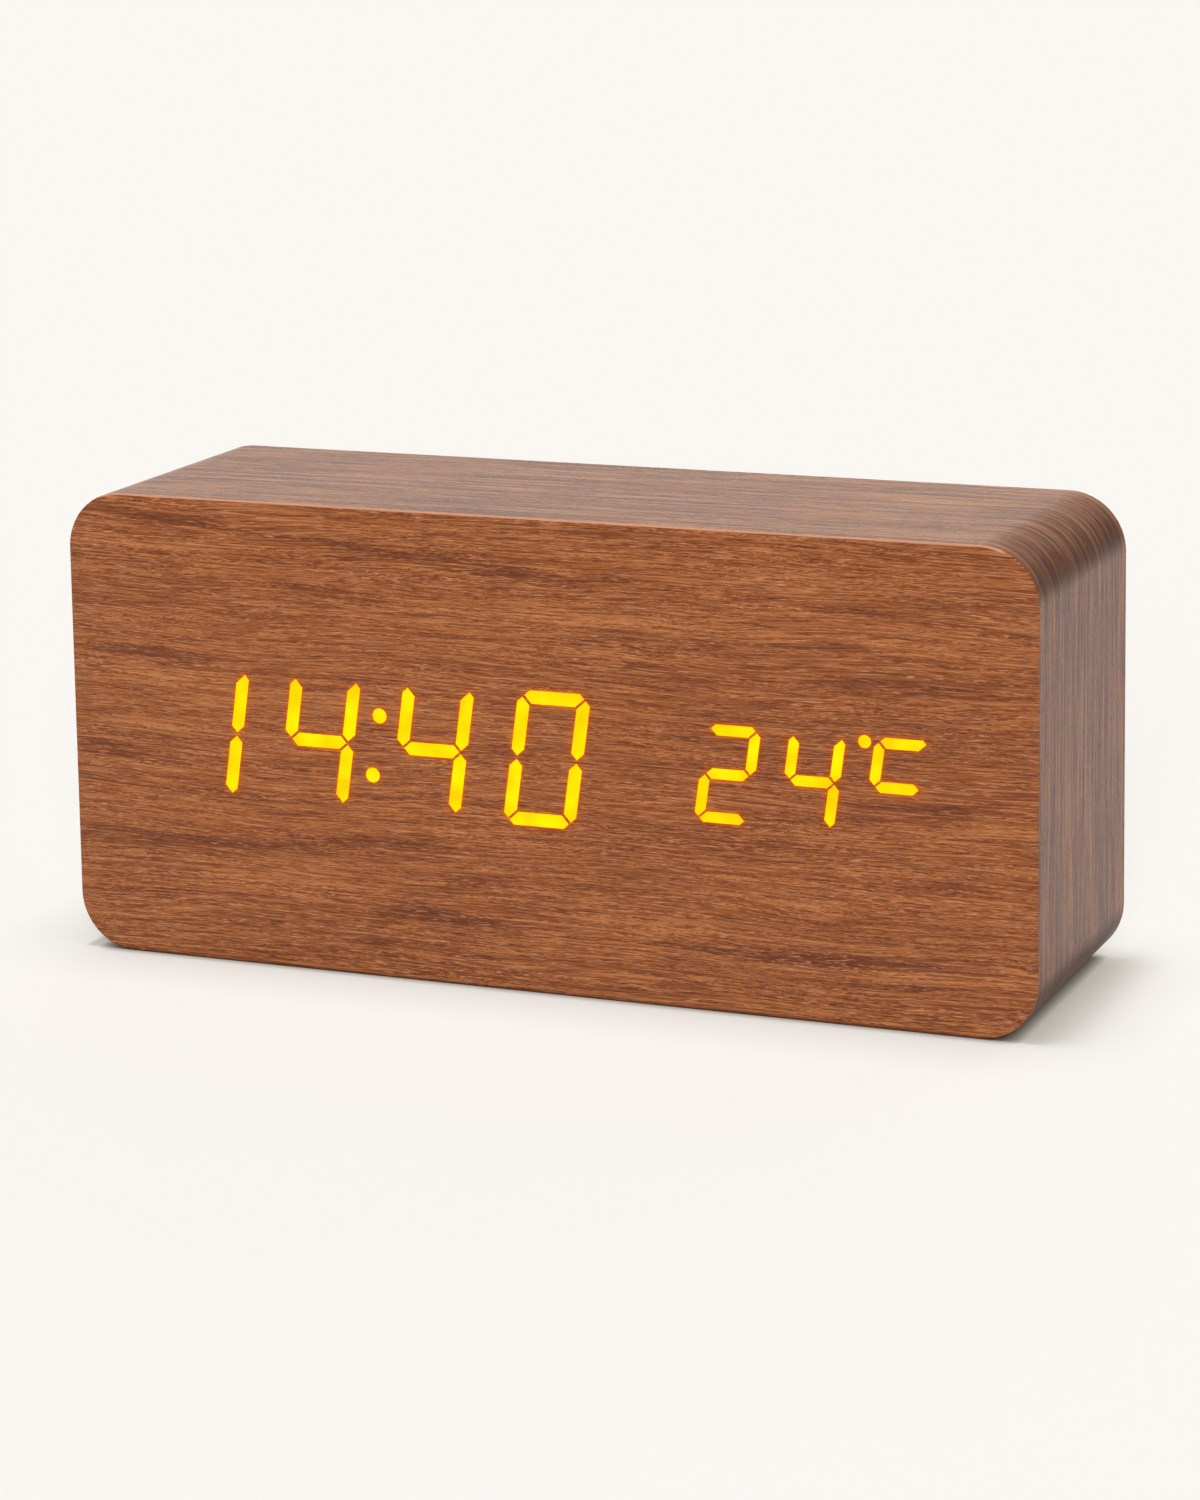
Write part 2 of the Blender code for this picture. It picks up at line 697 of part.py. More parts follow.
def front_board():
    """The board behind the front sheet, with the display's window and four pilot holes."""
    low, high = across(CAVITY_INSET + CLEARANCE, BOARD_FRONT, BOARD_BACK)
    board = block("front_board", low, high, FIBREBOARD, CAVITY_CORNER_RADIUS)
    half_x = MASK_X + CLEARANCE
    half_z = MASK_Z + CLEARANCE
    past = (BOARD_FRONT - OVERRUN, BOARD_BACK + OVERRUN)
    cut(board, block("display_window", *around((0, MIDLINE), half_x, half_z, *past)))
    depth = BOARD_BACK - SCREW_BITE - CLEARANCE
    for place in BOARD_SCREW_PLACES:
        cut(board, screw_hole("pilot_hole", place, depth, BOARD_BACK + OVERRUN))


def segment_lens():
    """The light guide sheet, with a raised pad for each lit bar and dot."""
    sheet = block(
        "segment_lens", *around((0, MIDLINE), MASK_X, MASK_Z, BOARD_FRONT, LENS_BACK), LIT_LENS
    )
    middle = (BOARD_FRONT + LENS_BACK) / 2
    pads = display_outlines(0, lit_only=True)
    fuse(sheet, prisms("pads", pads, FRONT + PAD_RECESS, middle))


def light_mask():
    """The black reflector: a well for each bar and dot, a flange and four screw bosses."""
    mask = block(
        "light_mask", *around((0, MIDLINE), MASK_X, MASK_Z, MASK_FRONT, MASK_BACK), BLACK_PLASTIC
    )
    flange_back = FLANGE_FRONT + MASK_FLANGE_THICKNESS
    flange = around((0, MIDLINE), BOARD_X, BOARD_Z, FLANGE_FRONT, flange_back)
    fuse(mask, block("flange", *flange))
    for x, z in BOARD_SCREW_PLACES:
        start = flange_back - EMBED
        fuse(mask, rod("boss", MASK_BOSS_RADIUS, (x, start, z), (x, MASK_BACK, z), sides=SMALL_SIDES))
    for place in BOARD_SCREW_PLACES:
        cut(mask, screw_hole("boss_hole", place, FLANGE_FRONT - OVERRUN, MASK_BACK + OVERRUN))
    cut(mask, prisms("wells", WELLS, MASK_FRONT - OVERRUN, MASK_BACK + OVERRUN))


def display_board():
    """The printed board, with an LED chip soldered on it behind each well."""
    corners = around((0, MIDLINE), BOARD_X, BOARD_Z, DISPLAY_FRONT, DISPLAY_BACK)
    board = block("display_board", *corners, CIRCUIT_GREEN)
    chips = []
    for outline in WELLS:
        x = sum(point[0] for point in outline) / len(outline)
        z = sum(point[1] for point in outline) / len(outline)
        left, right = x - LED_SIDE / 2, x + LED_SIDE / 2
        low, high = z - LED_SIDE / 2, z + LED_SIDE / 2
        chips.append([(left, low), (right, low), (right, high), (left, high)])
    front = DISPLAY_FRONT - LED_HEIGHT
    fuse(board, prisms("led_chips", chips, front, DISPLAY_FRONT + EMBED))
    for place in BOARD_SCREW_PLACES:
        cut(board, screw_hole("board_hole", place, front, DISPLAY_BACK + OVERRUN))


def board_screws():
    for number, place in enumerate(BOARD_SCREW_PLACES, start=1):
        pan_screw(f"board_screw_{number}", place, PART_SEAT, BOARD_BACK - SCREW_BITE)


# Pieces on the back of the display board


def driver_chip():
    """A flat resin body with a row of legs on each long side."""
    x, z = place_of(CHIP_PLACE_SHARES)
    half_x, half_z = CHIP_LENGTH / 2, CHIP_HEIGHT / 2
    body_front = PART_SEAT + CHIP_LEG_WIDTH
    body_back = body_front + CHIP_THICKNESS
    chip = block("driver_chip", *around((x, z), half_x, half_z, body_front, body_back), CHIP_BLACK)
    pitch = CHIP_LENGTH / CHIP_LEGS_PER_SIDE
    middle = (body_front + body_back) / 2
    row = []
    for leg in range(CHIP_LEGS_PER_SIDE):
        for side in (-1, 1):
            left = x - half_x + (leg + 1 / 2) * pitch - CHIP_LEG_WIDTH / 2
            right = left + CHIP_LEG_WIDTH
            inner = z + side * (half_z - EMBED)
            outer = z + side * (half_z + CHIP_LEG)
            row.append([(left, inner), (right, inner), (right, outer), (left, outer)])
    fuse(chip, prisms("legs", row, PART_SEAT, middle))


def crystal():
    x, z = place_of(CRYSTAL_PLACE_SHARES)
    half_x, half_z = CRYSTAL_LENGTH / 2, CRYSTAL_HEIGHT / 2
    corners = around((x, z), half_x, half_z, PART_SEAT, PART_SEAT + CRYSTAL_THICKNESS)
    block("crystal", *corners, STEEL, half_z * CRYSTAL_ROUND_SHARE)


def coin_cell():
    """The backup cell in its holder: a cup with a notch to push the cell out."""
    x, z = place_of(COIN_PLACE_SHARES)
    floor = PART_SEAT + HOLDER_FLOOR
    rim = floor + CLEARANCE + COIN_THICKNESS
    outer = COIN_RADIUS + CLEARANCE + HOLDER_WALL
    holder = rod("coin_cell_holder", outer, (x, PART_SEAT, z), (x, rim, z), BLACK_PLASTIC)
    bore = COIN_RADIUS + CLEARANCE
    notch = around((x, z + outer), HOLDER_NOTCH / 2, outer - COIN_RADIUS / 2, floor, rim + OVERRUN)
    cut(holder, rod("cup", bore, (x, floor, z), (x, rim + OVERRUN, z)), block("notch", *notch))
    profile = [
        (0, COIN_THICKNESS),
        (COIN_RADIUS - COIN_EASE, COIN_THICKNESS),
        (COIN_RADIUS, COIN_THICKNESS - COIN_EASE),
        (COIN_RADIUS, 0),
        (0, 0),
    ]
    turned("coin_cell", profile, (x, floor + CLEARANCE, z), (0, 1, 0), STEEL)


def buzzer():
    x, z = place_of(BUZZER_PLACE_SHARES)
    sink = BUZZER_HEIGHT - BUZZER_HOLE_DEPTH
    profile = [
        (0, sink),
        (BUZZER_HOLE_RADIUS, sink),
        (BUZZER_HOLE_RADIUS, BUZZER_HEIGHT),
        (BUZZER_RADIUS, BUZZER_HEIGHT),
        (BUZZER_RADIUS, 0),
        (0, 0),
    ]
    turned("buzzer", profile, (x, PART_SEAT, z), (0, 1, 0), CHIP_BLACK)


def microphone():
    x, z = place_of(MICROPHONE_PLACE_SHARES)
    lip = MICROPHONE_RADIUS - MICROPHONE_FELT_DEPTH
    felt = MICROPHONE_HEIGHT - MICROPHONE_FELT_DEPTH
    profile = [
        (0, felt),
        (lip, felt),
        (lip, MICROPHONE_HEIGHT),
        (MICROPHONE_RADIUS, MICROPHONE_HEIGHT),
        (MICROPHONE_RADIUS, 0),
        (0, 0),
    ]
    turned("microphone", profile, (x, PART_SEAT, z), (0, 1, 0), STEEL, SMALL_SIDES)


def thermistor():
    """A resin bead on two wire legs."""
    x, z = place_of(THERMISTOR_PLACE_SHARES)
    tip = PART_SEAT + THERMISTOR_LEG_LENGTH
    bead = sphere("thermistor", THERMISTOR_BEAD_RADIUS, (x, tip, z), CHIP_BLACK)
    for side in (-1, 1):
        leg_x = x + side * THERMISTOR_LEG_SPREAD
        ends = ((leg_x, PART_SEAT, z), (leg_x, tip, z))
        fuse(bead, rod("leg", THERMISTOR_LEG_RADIUS, *ends, sides=SMALL_SIDES))


# Back


def inset_cutter(name, centre, width, height):
    """The way through the back for a plastic inset."""
    half_x = width / 2 + CLEARANCE
    half_z = height / 2 + CLEARANCE
    low, high = around(centre, half_x, half_z, REAR_BOARD_FRONT - OVERRUN, BACK + OVERRUN)
    return block(name, low, high, radius=PANEL_CORNER_RADIUS)


def ear_places(centre, height):
    """The screws above and below an inset."""
    x, z = centre
    reach = height / 2 + EAR_REACH / 2
    return [(x, z - reach), (x, z + reach)]


TRAY_X = CAVITY_LENGTH / 2 + TRAY_LEDGE + TRAY_RIM
TRAY_Z = CAVITY_HEIGHT / 2 + TRAY_LEDGE + TRAY_RIM
WALL_X = CASE_WIDTH / 2 - CAVITY_INSET
FREE_WIDTH = 2 * (WALL_X - TRAY_X) - PANEL_WIDTH
INSET_Z = CASE_HEIGHT * INSET_RISE_SHARE
TRAY_CENTRE = (FREE_WIDTH * TRAY_SIDE_SHARE + TRAY_X - WALL_X, INSET_Z)
PANEL_CENTRE = (WALL_X - PANEL_WIDTH / 2 - FREE_WIDTH * PANEL_SIDE_SHARE, INSET_Z)
INSETS = ((TRAY_CENTRE, 2 * TRAY_X, 2 * TRAY_Z), (PANEL_CENTRE, PANEL_WIDTH, PANEL_HEIGHT))


def back_board():
    """The board that closes the sleeve, open where the tray and the panel come through."""
    low, high = across(CAVITY_INSET + CLEARANCE, REAR_BOARD_FRONT, REAR_BOARD_BACK)
    board = block("back_board", low, high, FIBREBOARD, CAVITY_CORNER_RADIUS)
    for centre, width, height in INSETS:
        cut(board, inset_cutter("board_opening", centre, width, height))
        for place in ear_places(centre, height):
            depth = REAR_BOARD_FRONT + SCREW_BITE + CLEARANCE
            cut(board, screw_hole("ear_pilot", place, REAR_BOARD_FRONT - OVERRUN, depth))
    cut(board, *(back_screw_hole(place) for place in POST_PLACES))


def back_veneer():
    sheet = block(
        "back_veneer",
        *across(0, BACK - SHEET, BACK),
        VENEER,
        CASE_CORNER_RADIUS,
        steps=CORNER_STEPS,
    )
    for centre, width, height in INSETS:
        cut(sheet, inset_cutter("sheet_opening", centre, width, height))
    cut(sheet, *(back_screw_hole(place) for place in POST_PLACES))


def add_ears(inset, centre, height):
    """The two ears that hold an inset against the inside of the back board."""
    for x, z in ear_places(centre, height):
        half_z = EAR_REACH / 2 + EMBED
        inward = math.copysign(EMBED, centre[1] - z)
        corners = around((x, z + inward), EAR_WIDTH / 2, half_z, EAR_FRONT, EAR_BACK)
        fuse(inset, block("ear", *corners))
        cut(inset, screw_hole("ear_hole", (x, z), EAR_FRONT - OVERRUN, EAR_BACK + OVERRUN))


def ear_screws(name, centre, height):
    for number, place in enumerate(ear_places(centre, height), start=1):
        seat = EAR_FRONT - CLEARANCE
        pan_screw(f"{name}_{number}", place, seat, REAR_BOARD_FRONT + SCREW_BITE)


# Control panel


def control_places():
    """The x of each control's middle, from its width and its share of the free width."""
    flange = 2 * BUTTON_FLANGE_RADIUS
    widths = {"jack": JACK_SIDE, "slide": SLIDE_LENGTH, "down": flange, "up": flange, "set": flange}
    inner = PANEL_WIDTH - 2 * PANEL_WALL
    free = inner - sum(widths.values())
    edge = PANEL_CENTRE[0] - inner / 2
    places = {}
    for name, width in widths.items():
        edge += free * CONTROL_GAP_SHARES[name]
        places[name] = edge + width / 2
        edge += width
    return places


CONTROL_X = control_places()
KEY_BOSS_X = PANEL_WIDTH * KEY_BOSS_PLACE_SHARE
KEY_BOSS_Z = (JACK_SIDE / 2 + PANEL_HEIGHT / 2 - PANEL_WALL) / 2
KEY_BOSS_PLACES = [
    (PANEL_CENTRE[0] + side * KEY_BOSS_X, PANEL_CENTRE[1] + side * KEY_BOSS_Z) for side in (1, -1)
]


def control_panel():
    """The black inset: a rim, a sunk floor with the controls' holes, and two screw bosses."""
    x, z = PANEL_CENTRE
    half_x, half_z = PANEL_WIDTH / 2, PANEL_HEIGHT / 2
    panel = block(
        "control_panel",
        *around(PANEL_CENTRE, half_x, half_z, EAR_FRONT, INSET_BACK),
        BLACK_PLASTIC,
        PANEL_CORNER_RADIUS,
    )
    inner = (PANEL_CENTRE, half_x - PANEL_WALL, half_z - PANEL_WALL)
    cut(panel, block("face_recess", *around(*inner, FLOOR_BACK, INSET_BACK + OVERRUN)))
    cut(panel, block("pocket", *around(*inner, EAR_FRONT - OVERRUN, FLOOR_FRONT)))
    add_ears(panel, PANEL_CENTRE, PANEL_HEIGHT)
    for boss_x, boss_z in KEY_BOSS_PLACES:
        ends = ((boss_x, KEY_SEAT, boss_z), (boss_x, FLOOR_FRONT + EMBED, boss_z))
        fuse(panel, rod("key_boss", KEY_BOSS_RADIUS, *ends, sides=SMALL_SIDES))
    through = (FLOOR_FRONT - OVERRUN, FLOOR_BACK + OVERRUN)
    for name in BUTTON_NAMES:
        ends = [(CONTROL_X[name], y, z) for y in through]
        cut(panel, rod("button_hole", BUTTON_RADIUS + CLEARANCE, *ends))
    ends = [(CONTROL_X["jack"], y, z) for y in through]
    cut(panel, rod("jack_hole", JACK_NOSE_RADIUS + CLEARANCE, *ends))
    centre = (CONTROL_X["slide"], z)
    half_slot = (KNOB_LENGTH + SLIDE_TRAVEL) / 2 + CLEARANCE
    slot = around(centre, half_slot, KNOB_HEIGHT / 2 + CLEARANCE, *through)
    cut(panel, block("knob_slot", *slot))
    for place in KEY_BOSS_PLACES:
        depth = KEY_SEAT + SCREW_BITE + CLEARANCE
        cut(panel, screw_hole("key_pilot", place, KEY_SEAT - OVERRUN, depth))


def key_board():
    """The small printed board that carries the switches and the inlet."""
    half_x = PANEL_WIDTH / 2 - KEY_BOARD_MARGIN
    half_z = PANEL_HEIGHT / 2 - PANEL_WALL
    corners = around(PANEL_CENTRE, half_x, half_z, KEY_FRONT, KEY_BACK)
    board = block("key_board", *corners, CIRCUIT_GREEN)
    for place in KEY_BOSS_PLACES:
        cut(board, screw_hole("key_hole", place, KEY_FRONT - OVERRUN, KEY_BACK + OVERRUN))


def key_board_screws():
    for number, place in enumerate(KEY_BOSS_PLACES, start=1):
        seat = KEY_FRONT - CLEARANCE
        pan_screw(f"key_board_screw_{number}", place, seat, KEY_SEAT + SCREW_BITE)


def push_button(name):
    """A dished cap with a flange behind the panel, its tact switch and the switch's plunger."""
    x, z = CONTROL_X[name], PANEL_CENTRE[1]
    seat = BUTTON_FLANGE_BACK - STEM_FRONT
    flange = seat - BUTTON_FLANGE
    top = FLOOR_BACK + BUTTON_PROUD - STEM_FRONT
    profile = [
        (0, top - BUTTON_DISH),
        (BUTTON_RADIUS - 2 * BUTTON_DISH, top - BUTTON_DISH / 2),
        (BUTTON_RADIUS - BUTTON_DISH, top),
        (BUTTON_RADIUS, top - BUTTON_DISH),
        (BUTTON_RADIUS, seat),
        (BUTTON_FLANGE_RADIUS, seat),
        (BUTTON_FLANGE_RADIUS, flange),
        (BUTTON_STEM_RADIUS, flange),
        (BUTTON_STEM_RADIUS, 0),
        (0, 0),
    ]
    turned(f"{name}_button", profile, (x, STEM_FRONT, z), (0, 1, 0), BUTTON_PLASTIC)
    half = TACT_SIDE / 2
    switch = block(f"{name}_switch", *around((x, z), half, half, KEY_SEAT, TACT_BACK), STEEL)
    floor = TACT_BACK - PLUNGER_SEAT - BUTTON_TRAVEL - CLEARANCE
    bore = PLUNGER_RADIUS + CLEARANCE
    ends = ((x, floor, z), (x, TACT_BACK + OVERRUN, z))
    cut(switch, rod("plunger_bore", bore, *ends, sides=SMALL_SIDES))
    start = (x, TACT_BACK - PLUNGER_SEAT, z)
    plunger = (f"{name}_plunger", PLUNGER_RADIUS, start, (x, PLUNGER_BACK, z))
    rod(*plunger, CHIP_BLACK, SMALL_SIDES)


def slide_switch():
    """The slide switch and its knob, which rests at the end of its slot with the lower x."""
    centre = (CONTROL_X["slide"], PANEL_CENTRE[1])
    top = KEY_SEAT + SLIDE_THICKNESS
    body = around(centre, SLIDE_LENGTH / 2, SLIDE_HEIGHT / 2, KEY_SEAT, top)
    switch = block("slide_switch", *body, STEEL)
    half_slot = (KNOB_LENGTH + SLIDE_TRAVEL) / 2 + CLEARANCE
    floor = top - SLIDE_SEAT - CLEARANCE
    slot = around(centre, half_slot, KNOB_HEIGHT / 2 + CLEARANCE, floor, top + OVERRUN)
    cut(switch, block("slide_slot", *slot))
    rest = (centre[0] - SLIDE_TRAVEL / 2, centre[1])
    knob = around(rest, KNOB_LENGTH / 2, KNOB_HEIGHT / 2, top - SLIDE_SEAT, FLOOR_BACK + KNOB_PROUD)
    block("slide_switch_knob", *knob, BUTTON_PLASTIC)


def dc_jack():
    """The power inlet: a square body with a round nose, a bore and a pin down its middle."""
    x, z = CONTROL_X["jack"], PANEL_CENTRE[1]
    half = JACK_SIDE / 2
    shoulder = FLOOR_FRONT - CLEARANCE
    mouth = FLOOR_BACK + JACK_NOSE_PROUD
    jack = block("dc_jack", *around((x, z), half, half, KEY_SEAT, shoulder), BLACK_PLASTIC)
    fuse(jack, rod("nose", JACK_NOSE_RADIUS, (x, shoulder - EMBED, z), (x, mouth, z)))
    floor = mouth - JACK_BORE_DEPTH
    cut(jack, rod("bore", JACK_BORE_RADIUS, (x, floor, z), (x, mouth + OVERRUN, z), sides=SMALL_SIDES))
    ends = ((x, floor - EMBED, z), (x, mouth - JACK_PIN_RECESS, z))
    fuse(jack, rod("pin", JACK_PIN_RADIUS, *ends, sides=SMALL_SIDES))


# Battery compartment


def cell_rows():
    """The height of each cell, and the side that its nub points to."""
    first = TRAY_CENTRE[1] - (CELL_COUNT - 1) / 2 * CELL_PITCH
    return [(first + row * CELL_PITCH, 1 if row % 2 == 0 else -1) for row in range(CELL_COUNT)]


DOOR_X = CAVITY_LENGTH / 2 + TRAY_LEDGE - CLEARANCE
DOOR_Z = CAVITY_HEIGHT / 2 + TRAY_LEDGE - CLEARANCE
HINGE_Y = INSET_BACK - DOOR_THICKNESS / 2
HINGE_Z = TRAY_CENTRE[1] - DOOR_Z + DOOR_THICKNESS / 2


def battery_tray():
    """The compartment: a box open to the back, with a ledge, hinge holes, ribs and ears."""
    x, z = TRAY_CENTRE
    tray = block(
        "battery_tray",
        *around(TRAY_CENTRE, TRAY_X, TRAY_Z, TRAY_FRONT, INSET_BACK),
        BLACK_PLASTIC,
        PANEL_CORNER_RADIUS,
    )
    room = around(TRAY_CENTRE, CAVITY_LENGTH / 2, CAVITY_HEIGHT / 2, ROOF_BACK, INSET_BACK)
    cut(tray, block("cell_room", *room))
    half_x, half_z = DOOR_X + CLEARANCE, DOOR_Z + CLEARANCE
    front = DOOR_FRONT - CLEARANCE
    cut(tray, block("door_room", *around(TRAY_CENTRE, half_x, half_z, front, INSET_BACK + OVERRUN)))
    hole = DOOR_X + DOOR_STUB_LENGTH + CLEARANCE
    ends = ((x - hole, HINGE_Y, HINGE_Z), (x + hole, HINGE_Y, HINGE_Z))
    cut(tray, rod("hinge_hole", DOOR_STUB_RADIUS + STUB_CLEARANCE, *ends, sides=SMALL_SIDES))
    for row in range(1, CELL_COUNT):
        rib_z = TRAY_CENTRE[1] + (row - CELL_COUNT / 2) * CELL_PITCH
        half = CELL_LENGTH / 2
        top = ROOF_BACK + TRAY_RIB_HEIGHT
        rib = around((x, rib_z), half, TRAY_RIB_WIDTH / 2, ROOF_BACK - EMBED, top)
        fuse(tray, block("rib", *rib))
    add_ears(tray, TRAY_CENTRE, 2 * TRAY_Z)


def battery_door():
    """A flat door whose lower edge is round about its stub pins, with a latch and grip lines."""
    x, z = TRAY_CENTRE
    low = (x - DOOR_X, DOOR_FRONT, HINGE_Z)
    high = (x + DOOR_X, INSET_BACK, z + DOOR_Z)
    door = block("battery_door", low, high, BLACK_PLASTIC)
    set_origin(door, (x, HINGE_Y, HINGE_Z))
    ends = ((x - DOOR_X, HINGE_Y, HINGE_Z), (x + DOOR_X, HINGE_Y, HINGE_Z))
    fuse(door, rod("round_edge", DOOR_THICKNESS / 2, *ends, sides=SMALL_SIDES))
    reach = DOOR_X + DOOR_STUB_LENGTH
    for side in (-1, 1):
        stub = ((x + side * (DOOR_X - EMBED), HINGE_Y, HINGE_Z), (x + side * reach, HINGE_Y, HINGE_Z))
        fuse(door, rod("stub", DOOR_STUB_RADIUS, *stub, sides=SMALL_SIDES))
    latch_top = z + CAVITY_HEIGHT / 2 - CLEARANCE
    low = (x - LATCH_WIDTH / 2, DOOR_FRONT - LATCH_REACH, latch_top - LATCH_THICKNESS)
    high = (x + LATCH_WIDTH / 2, DOOR_FRONT + EMBED, latch_top)
    fuse(door, block("latch", low, high))
    for line in range(GRIP_COUNT):
        height = z + DOOR_Z - GRIP_EDGE - line * GRIP_PITCH
        floor = INSET_BACK - GRIP_DEPTH
        groove = around((x, height), GRIP_LENGTH / 2, GRIP_WIDTH / 2, floor, INSET_BACK + OVERRUN)
        cut(door, block("grip", *groove))


def batteries():
    """Three cells in a row of alternating direction, each between its spring and its contact."""
    x = TRAY_CENTRE[0]
    for number, (z, side) in enumerate(cell_rows(), start=1):
        wall = CAVITY_LENGTH / 2
        base = x - side * (wall - SPRING_ROOM)
        shoulder = CELL_LENGTH - CELL_EASE
        profile = [
            (0, CELL_LENGTH + CELL_NUB_LENGTH),
            (CELL_NUB_RADIUS, CELL_LENGTH + CELL_NUB_LENGTH),
            (CELL_NUB_RADIUS, CELL_LENGTH),
            (CELL_RADIUS - CELL_EASE, CELL_LENGTH),
            (CELL_RADIUS, shoulder),
            (CELL_RADIUS, CELL_EASE),
            (CELL_RADIUS - CELL_EASE, 0),
            (0, 0),
        ]
        turned(f"battery_{number}", profile, (base, CELL_AXIS, z), (side, 0, 0), CELL_SLEEVE)
        coil = spring_points(x - side * wall, z, side)
        tube(f"battery_spring_{number}", coil, SPRING_WIRE_RADIUS, STEEL)
        contact_plate(f"battery_contact_{number}", x + side * (wall - CLEARANCE), z, side)


def spring_points(wall, z, side):
    """A cone-shaped coil that runs from the tray's wall to the cell's flat end."""
    start = wall + side * (CLEARANCE + SPRING_WIRE_RADIUS)
    run = SPRING_LENGTH - 2 * SPRING_WIRE_RADIUS
    steps = SPRING_TURNS * SPRING_POINTS_PER_TURN
    points = []
    for step in range(steps + 1):
        along = step / steps
        angle = 2 * math.pi * step / SPRING_POINTS_PER_TURN
        radius = SPRING_FOOT_RADIUS + (SPRING_TIP_RADIUS - SPRING_FOOT_RADIUS) * along
        y = CELL_AXIS + radius * math.cos(angle)
        points.append((start + side * run * along, y, z + radius * math.sin(angle)))
    return points


def contact_plate(name, wall, z, side):
    """A stamped plate with a low bump that meets the cell's nub."""
    half = CONTACT_SIDE / 2
    face = wall - side * CONTACT_THICKNESS
    low = (min(wall, face), CELL_AXIS - half, z - half)
    high = (max(wall, face), CELL_AXIS + half, z + half)
    plate = block(name, low, high, STEEL)
    root = face + side * CONTACT_THICKNESS / 2
    tip = face - side * CONTACT_BUMP_HEIGHT
    ends = ((root, CELL_AXIS, z), (tip, CELL_AXIS, z))
    narrow = CONTACT_BUMP_RADIUS / 2
    fuse(plate, rod("bump", CONTACT_BUMP_RADIUS, *ends, sides=SMALL_SIDES, end_radius=narrow))


# Wiring


def eased(along):
    """0 to 1 with a slow start and a slow end."""
    return (1 - math.cos(math.pi * along)) / 2


def ribbon_cable():
    """A flat cable that sags a little between the two printed boards."""
    x = PANEL_CENTRE[0] + PANEL_WIDTH * RIBBON_PLACE_SHARES[0]
    z = PANEL_CENTRE[1] + PANEL_HEIGHT * RIBBON_PLACE_SHARES[1]
    start, end = PART_SEAT, KEY_FRONT - CLEARANCE
    half = RIBBON_WIDTH / 2
    shape = bmesh.new()
    rows = []
    for step in range(RIBBON_STEPS + 1):
        along = step / RIBBON_STEPS
        y = start + (end - start) * along
        height = z - RIBBON_DROP * math.sin(math.pi * eased(along))
        rows.append([shape.verts.new((x + side * half, y, height)) for side in (-1, 1)])
    for near, far in zip(rows, rows[1:]):
        shape.faces.new((near[0], near[1], far[1], far[0]))
    strip = add_mesh("ribbon_cable", shape, RIBBON_GREY, (0, 0, 0))
    thickness = strip.modifiers.new("thickness", "SOLIDIFY")
    thickness.thickness = RIBBON_THICKNESS
    thickness.offset = 0


def battery_wires():
    """The two wires that run from the tray's front wall to the display board."""
    y0, y1 = TRAY_FRONT - CLEARANCE, PART_SEAT
    for name, (share_x, share_z) in WIRE_TRAY_SHARES.items():
        x0 = TRAY_CENTRE[0] + TRAY_X * (2 * share_x - 1)
        z0 = TRAY_CENTRE[1] + TRAY_Z * (2 * share_z - 1)
        x1, z1 = place_of(WIRE_BOARD_SHARES[name])
        points = []
        for step in range(WIRE_STEPS + 1):
            along = step / WIRE_STEPS
            bend = eased(along)
            points.append((x0 + (x1 - x0) * bend, y0 + (y1 - y0) * along, z0 + (z1 - z0) * bend))
        sleeve = RED_SLEEVE if name == "red_wire" else BLACK_SLEEVE
        tube(name, points, WIRE_RADIUS, sleeve, 2, "Z_UP")


def build():
    case_frame()
    side_veneer()
    front_veneer()
    front_board()
    segment_lens()
    light_mask()
    display_board()
    board_screws()
    driver_chip()
    crystal()
    coin_cell()
    buzzer()
    microphone()
    thermistor()
    back_board()
    back_veneer()
    back_screws()
    control_panel()
    ear_screws("panel_screw", PANEL_CENTRE, PANEL_HEIGHT)
    key_board()
    key_board_screws()
    for name in BUTTON_NAMES:
        push_button(name)
    slide_switch()
    dc_jack()
    battery_tray()
    ear_screws("tray_screw", TRAY_CENTRE, 2 * TRAY_Z)
    battery_door()
    batteries()
    ribbon_cable()
    battery_wires()


build()
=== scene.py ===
import math

import bmesh
import bpy
import numpy as np
from mathutils import Matrix, Vector, geometry


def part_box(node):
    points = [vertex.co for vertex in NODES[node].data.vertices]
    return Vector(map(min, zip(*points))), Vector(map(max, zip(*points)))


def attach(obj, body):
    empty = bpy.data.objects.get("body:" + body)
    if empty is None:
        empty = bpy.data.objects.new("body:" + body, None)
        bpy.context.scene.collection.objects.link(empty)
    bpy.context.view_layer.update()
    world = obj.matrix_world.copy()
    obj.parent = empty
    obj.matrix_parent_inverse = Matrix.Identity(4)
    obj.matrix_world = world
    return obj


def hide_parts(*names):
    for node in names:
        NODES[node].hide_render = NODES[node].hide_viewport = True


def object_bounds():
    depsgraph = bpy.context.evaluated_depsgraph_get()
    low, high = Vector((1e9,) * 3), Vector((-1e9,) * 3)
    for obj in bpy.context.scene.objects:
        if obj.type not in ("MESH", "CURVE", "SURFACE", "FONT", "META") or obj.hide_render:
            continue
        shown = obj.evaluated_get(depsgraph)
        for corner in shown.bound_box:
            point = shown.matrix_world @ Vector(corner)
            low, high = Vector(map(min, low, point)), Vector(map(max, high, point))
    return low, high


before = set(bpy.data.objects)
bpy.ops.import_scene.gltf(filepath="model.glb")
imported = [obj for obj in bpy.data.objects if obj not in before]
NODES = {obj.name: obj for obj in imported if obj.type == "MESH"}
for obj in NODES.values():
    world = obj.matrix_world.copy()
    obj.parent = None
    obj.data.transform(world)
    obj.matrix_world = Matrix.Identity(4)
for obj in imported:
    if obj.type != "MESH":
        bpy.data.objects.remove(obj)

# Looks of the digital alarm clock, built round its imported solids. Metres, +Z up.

CAD_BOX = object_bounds()

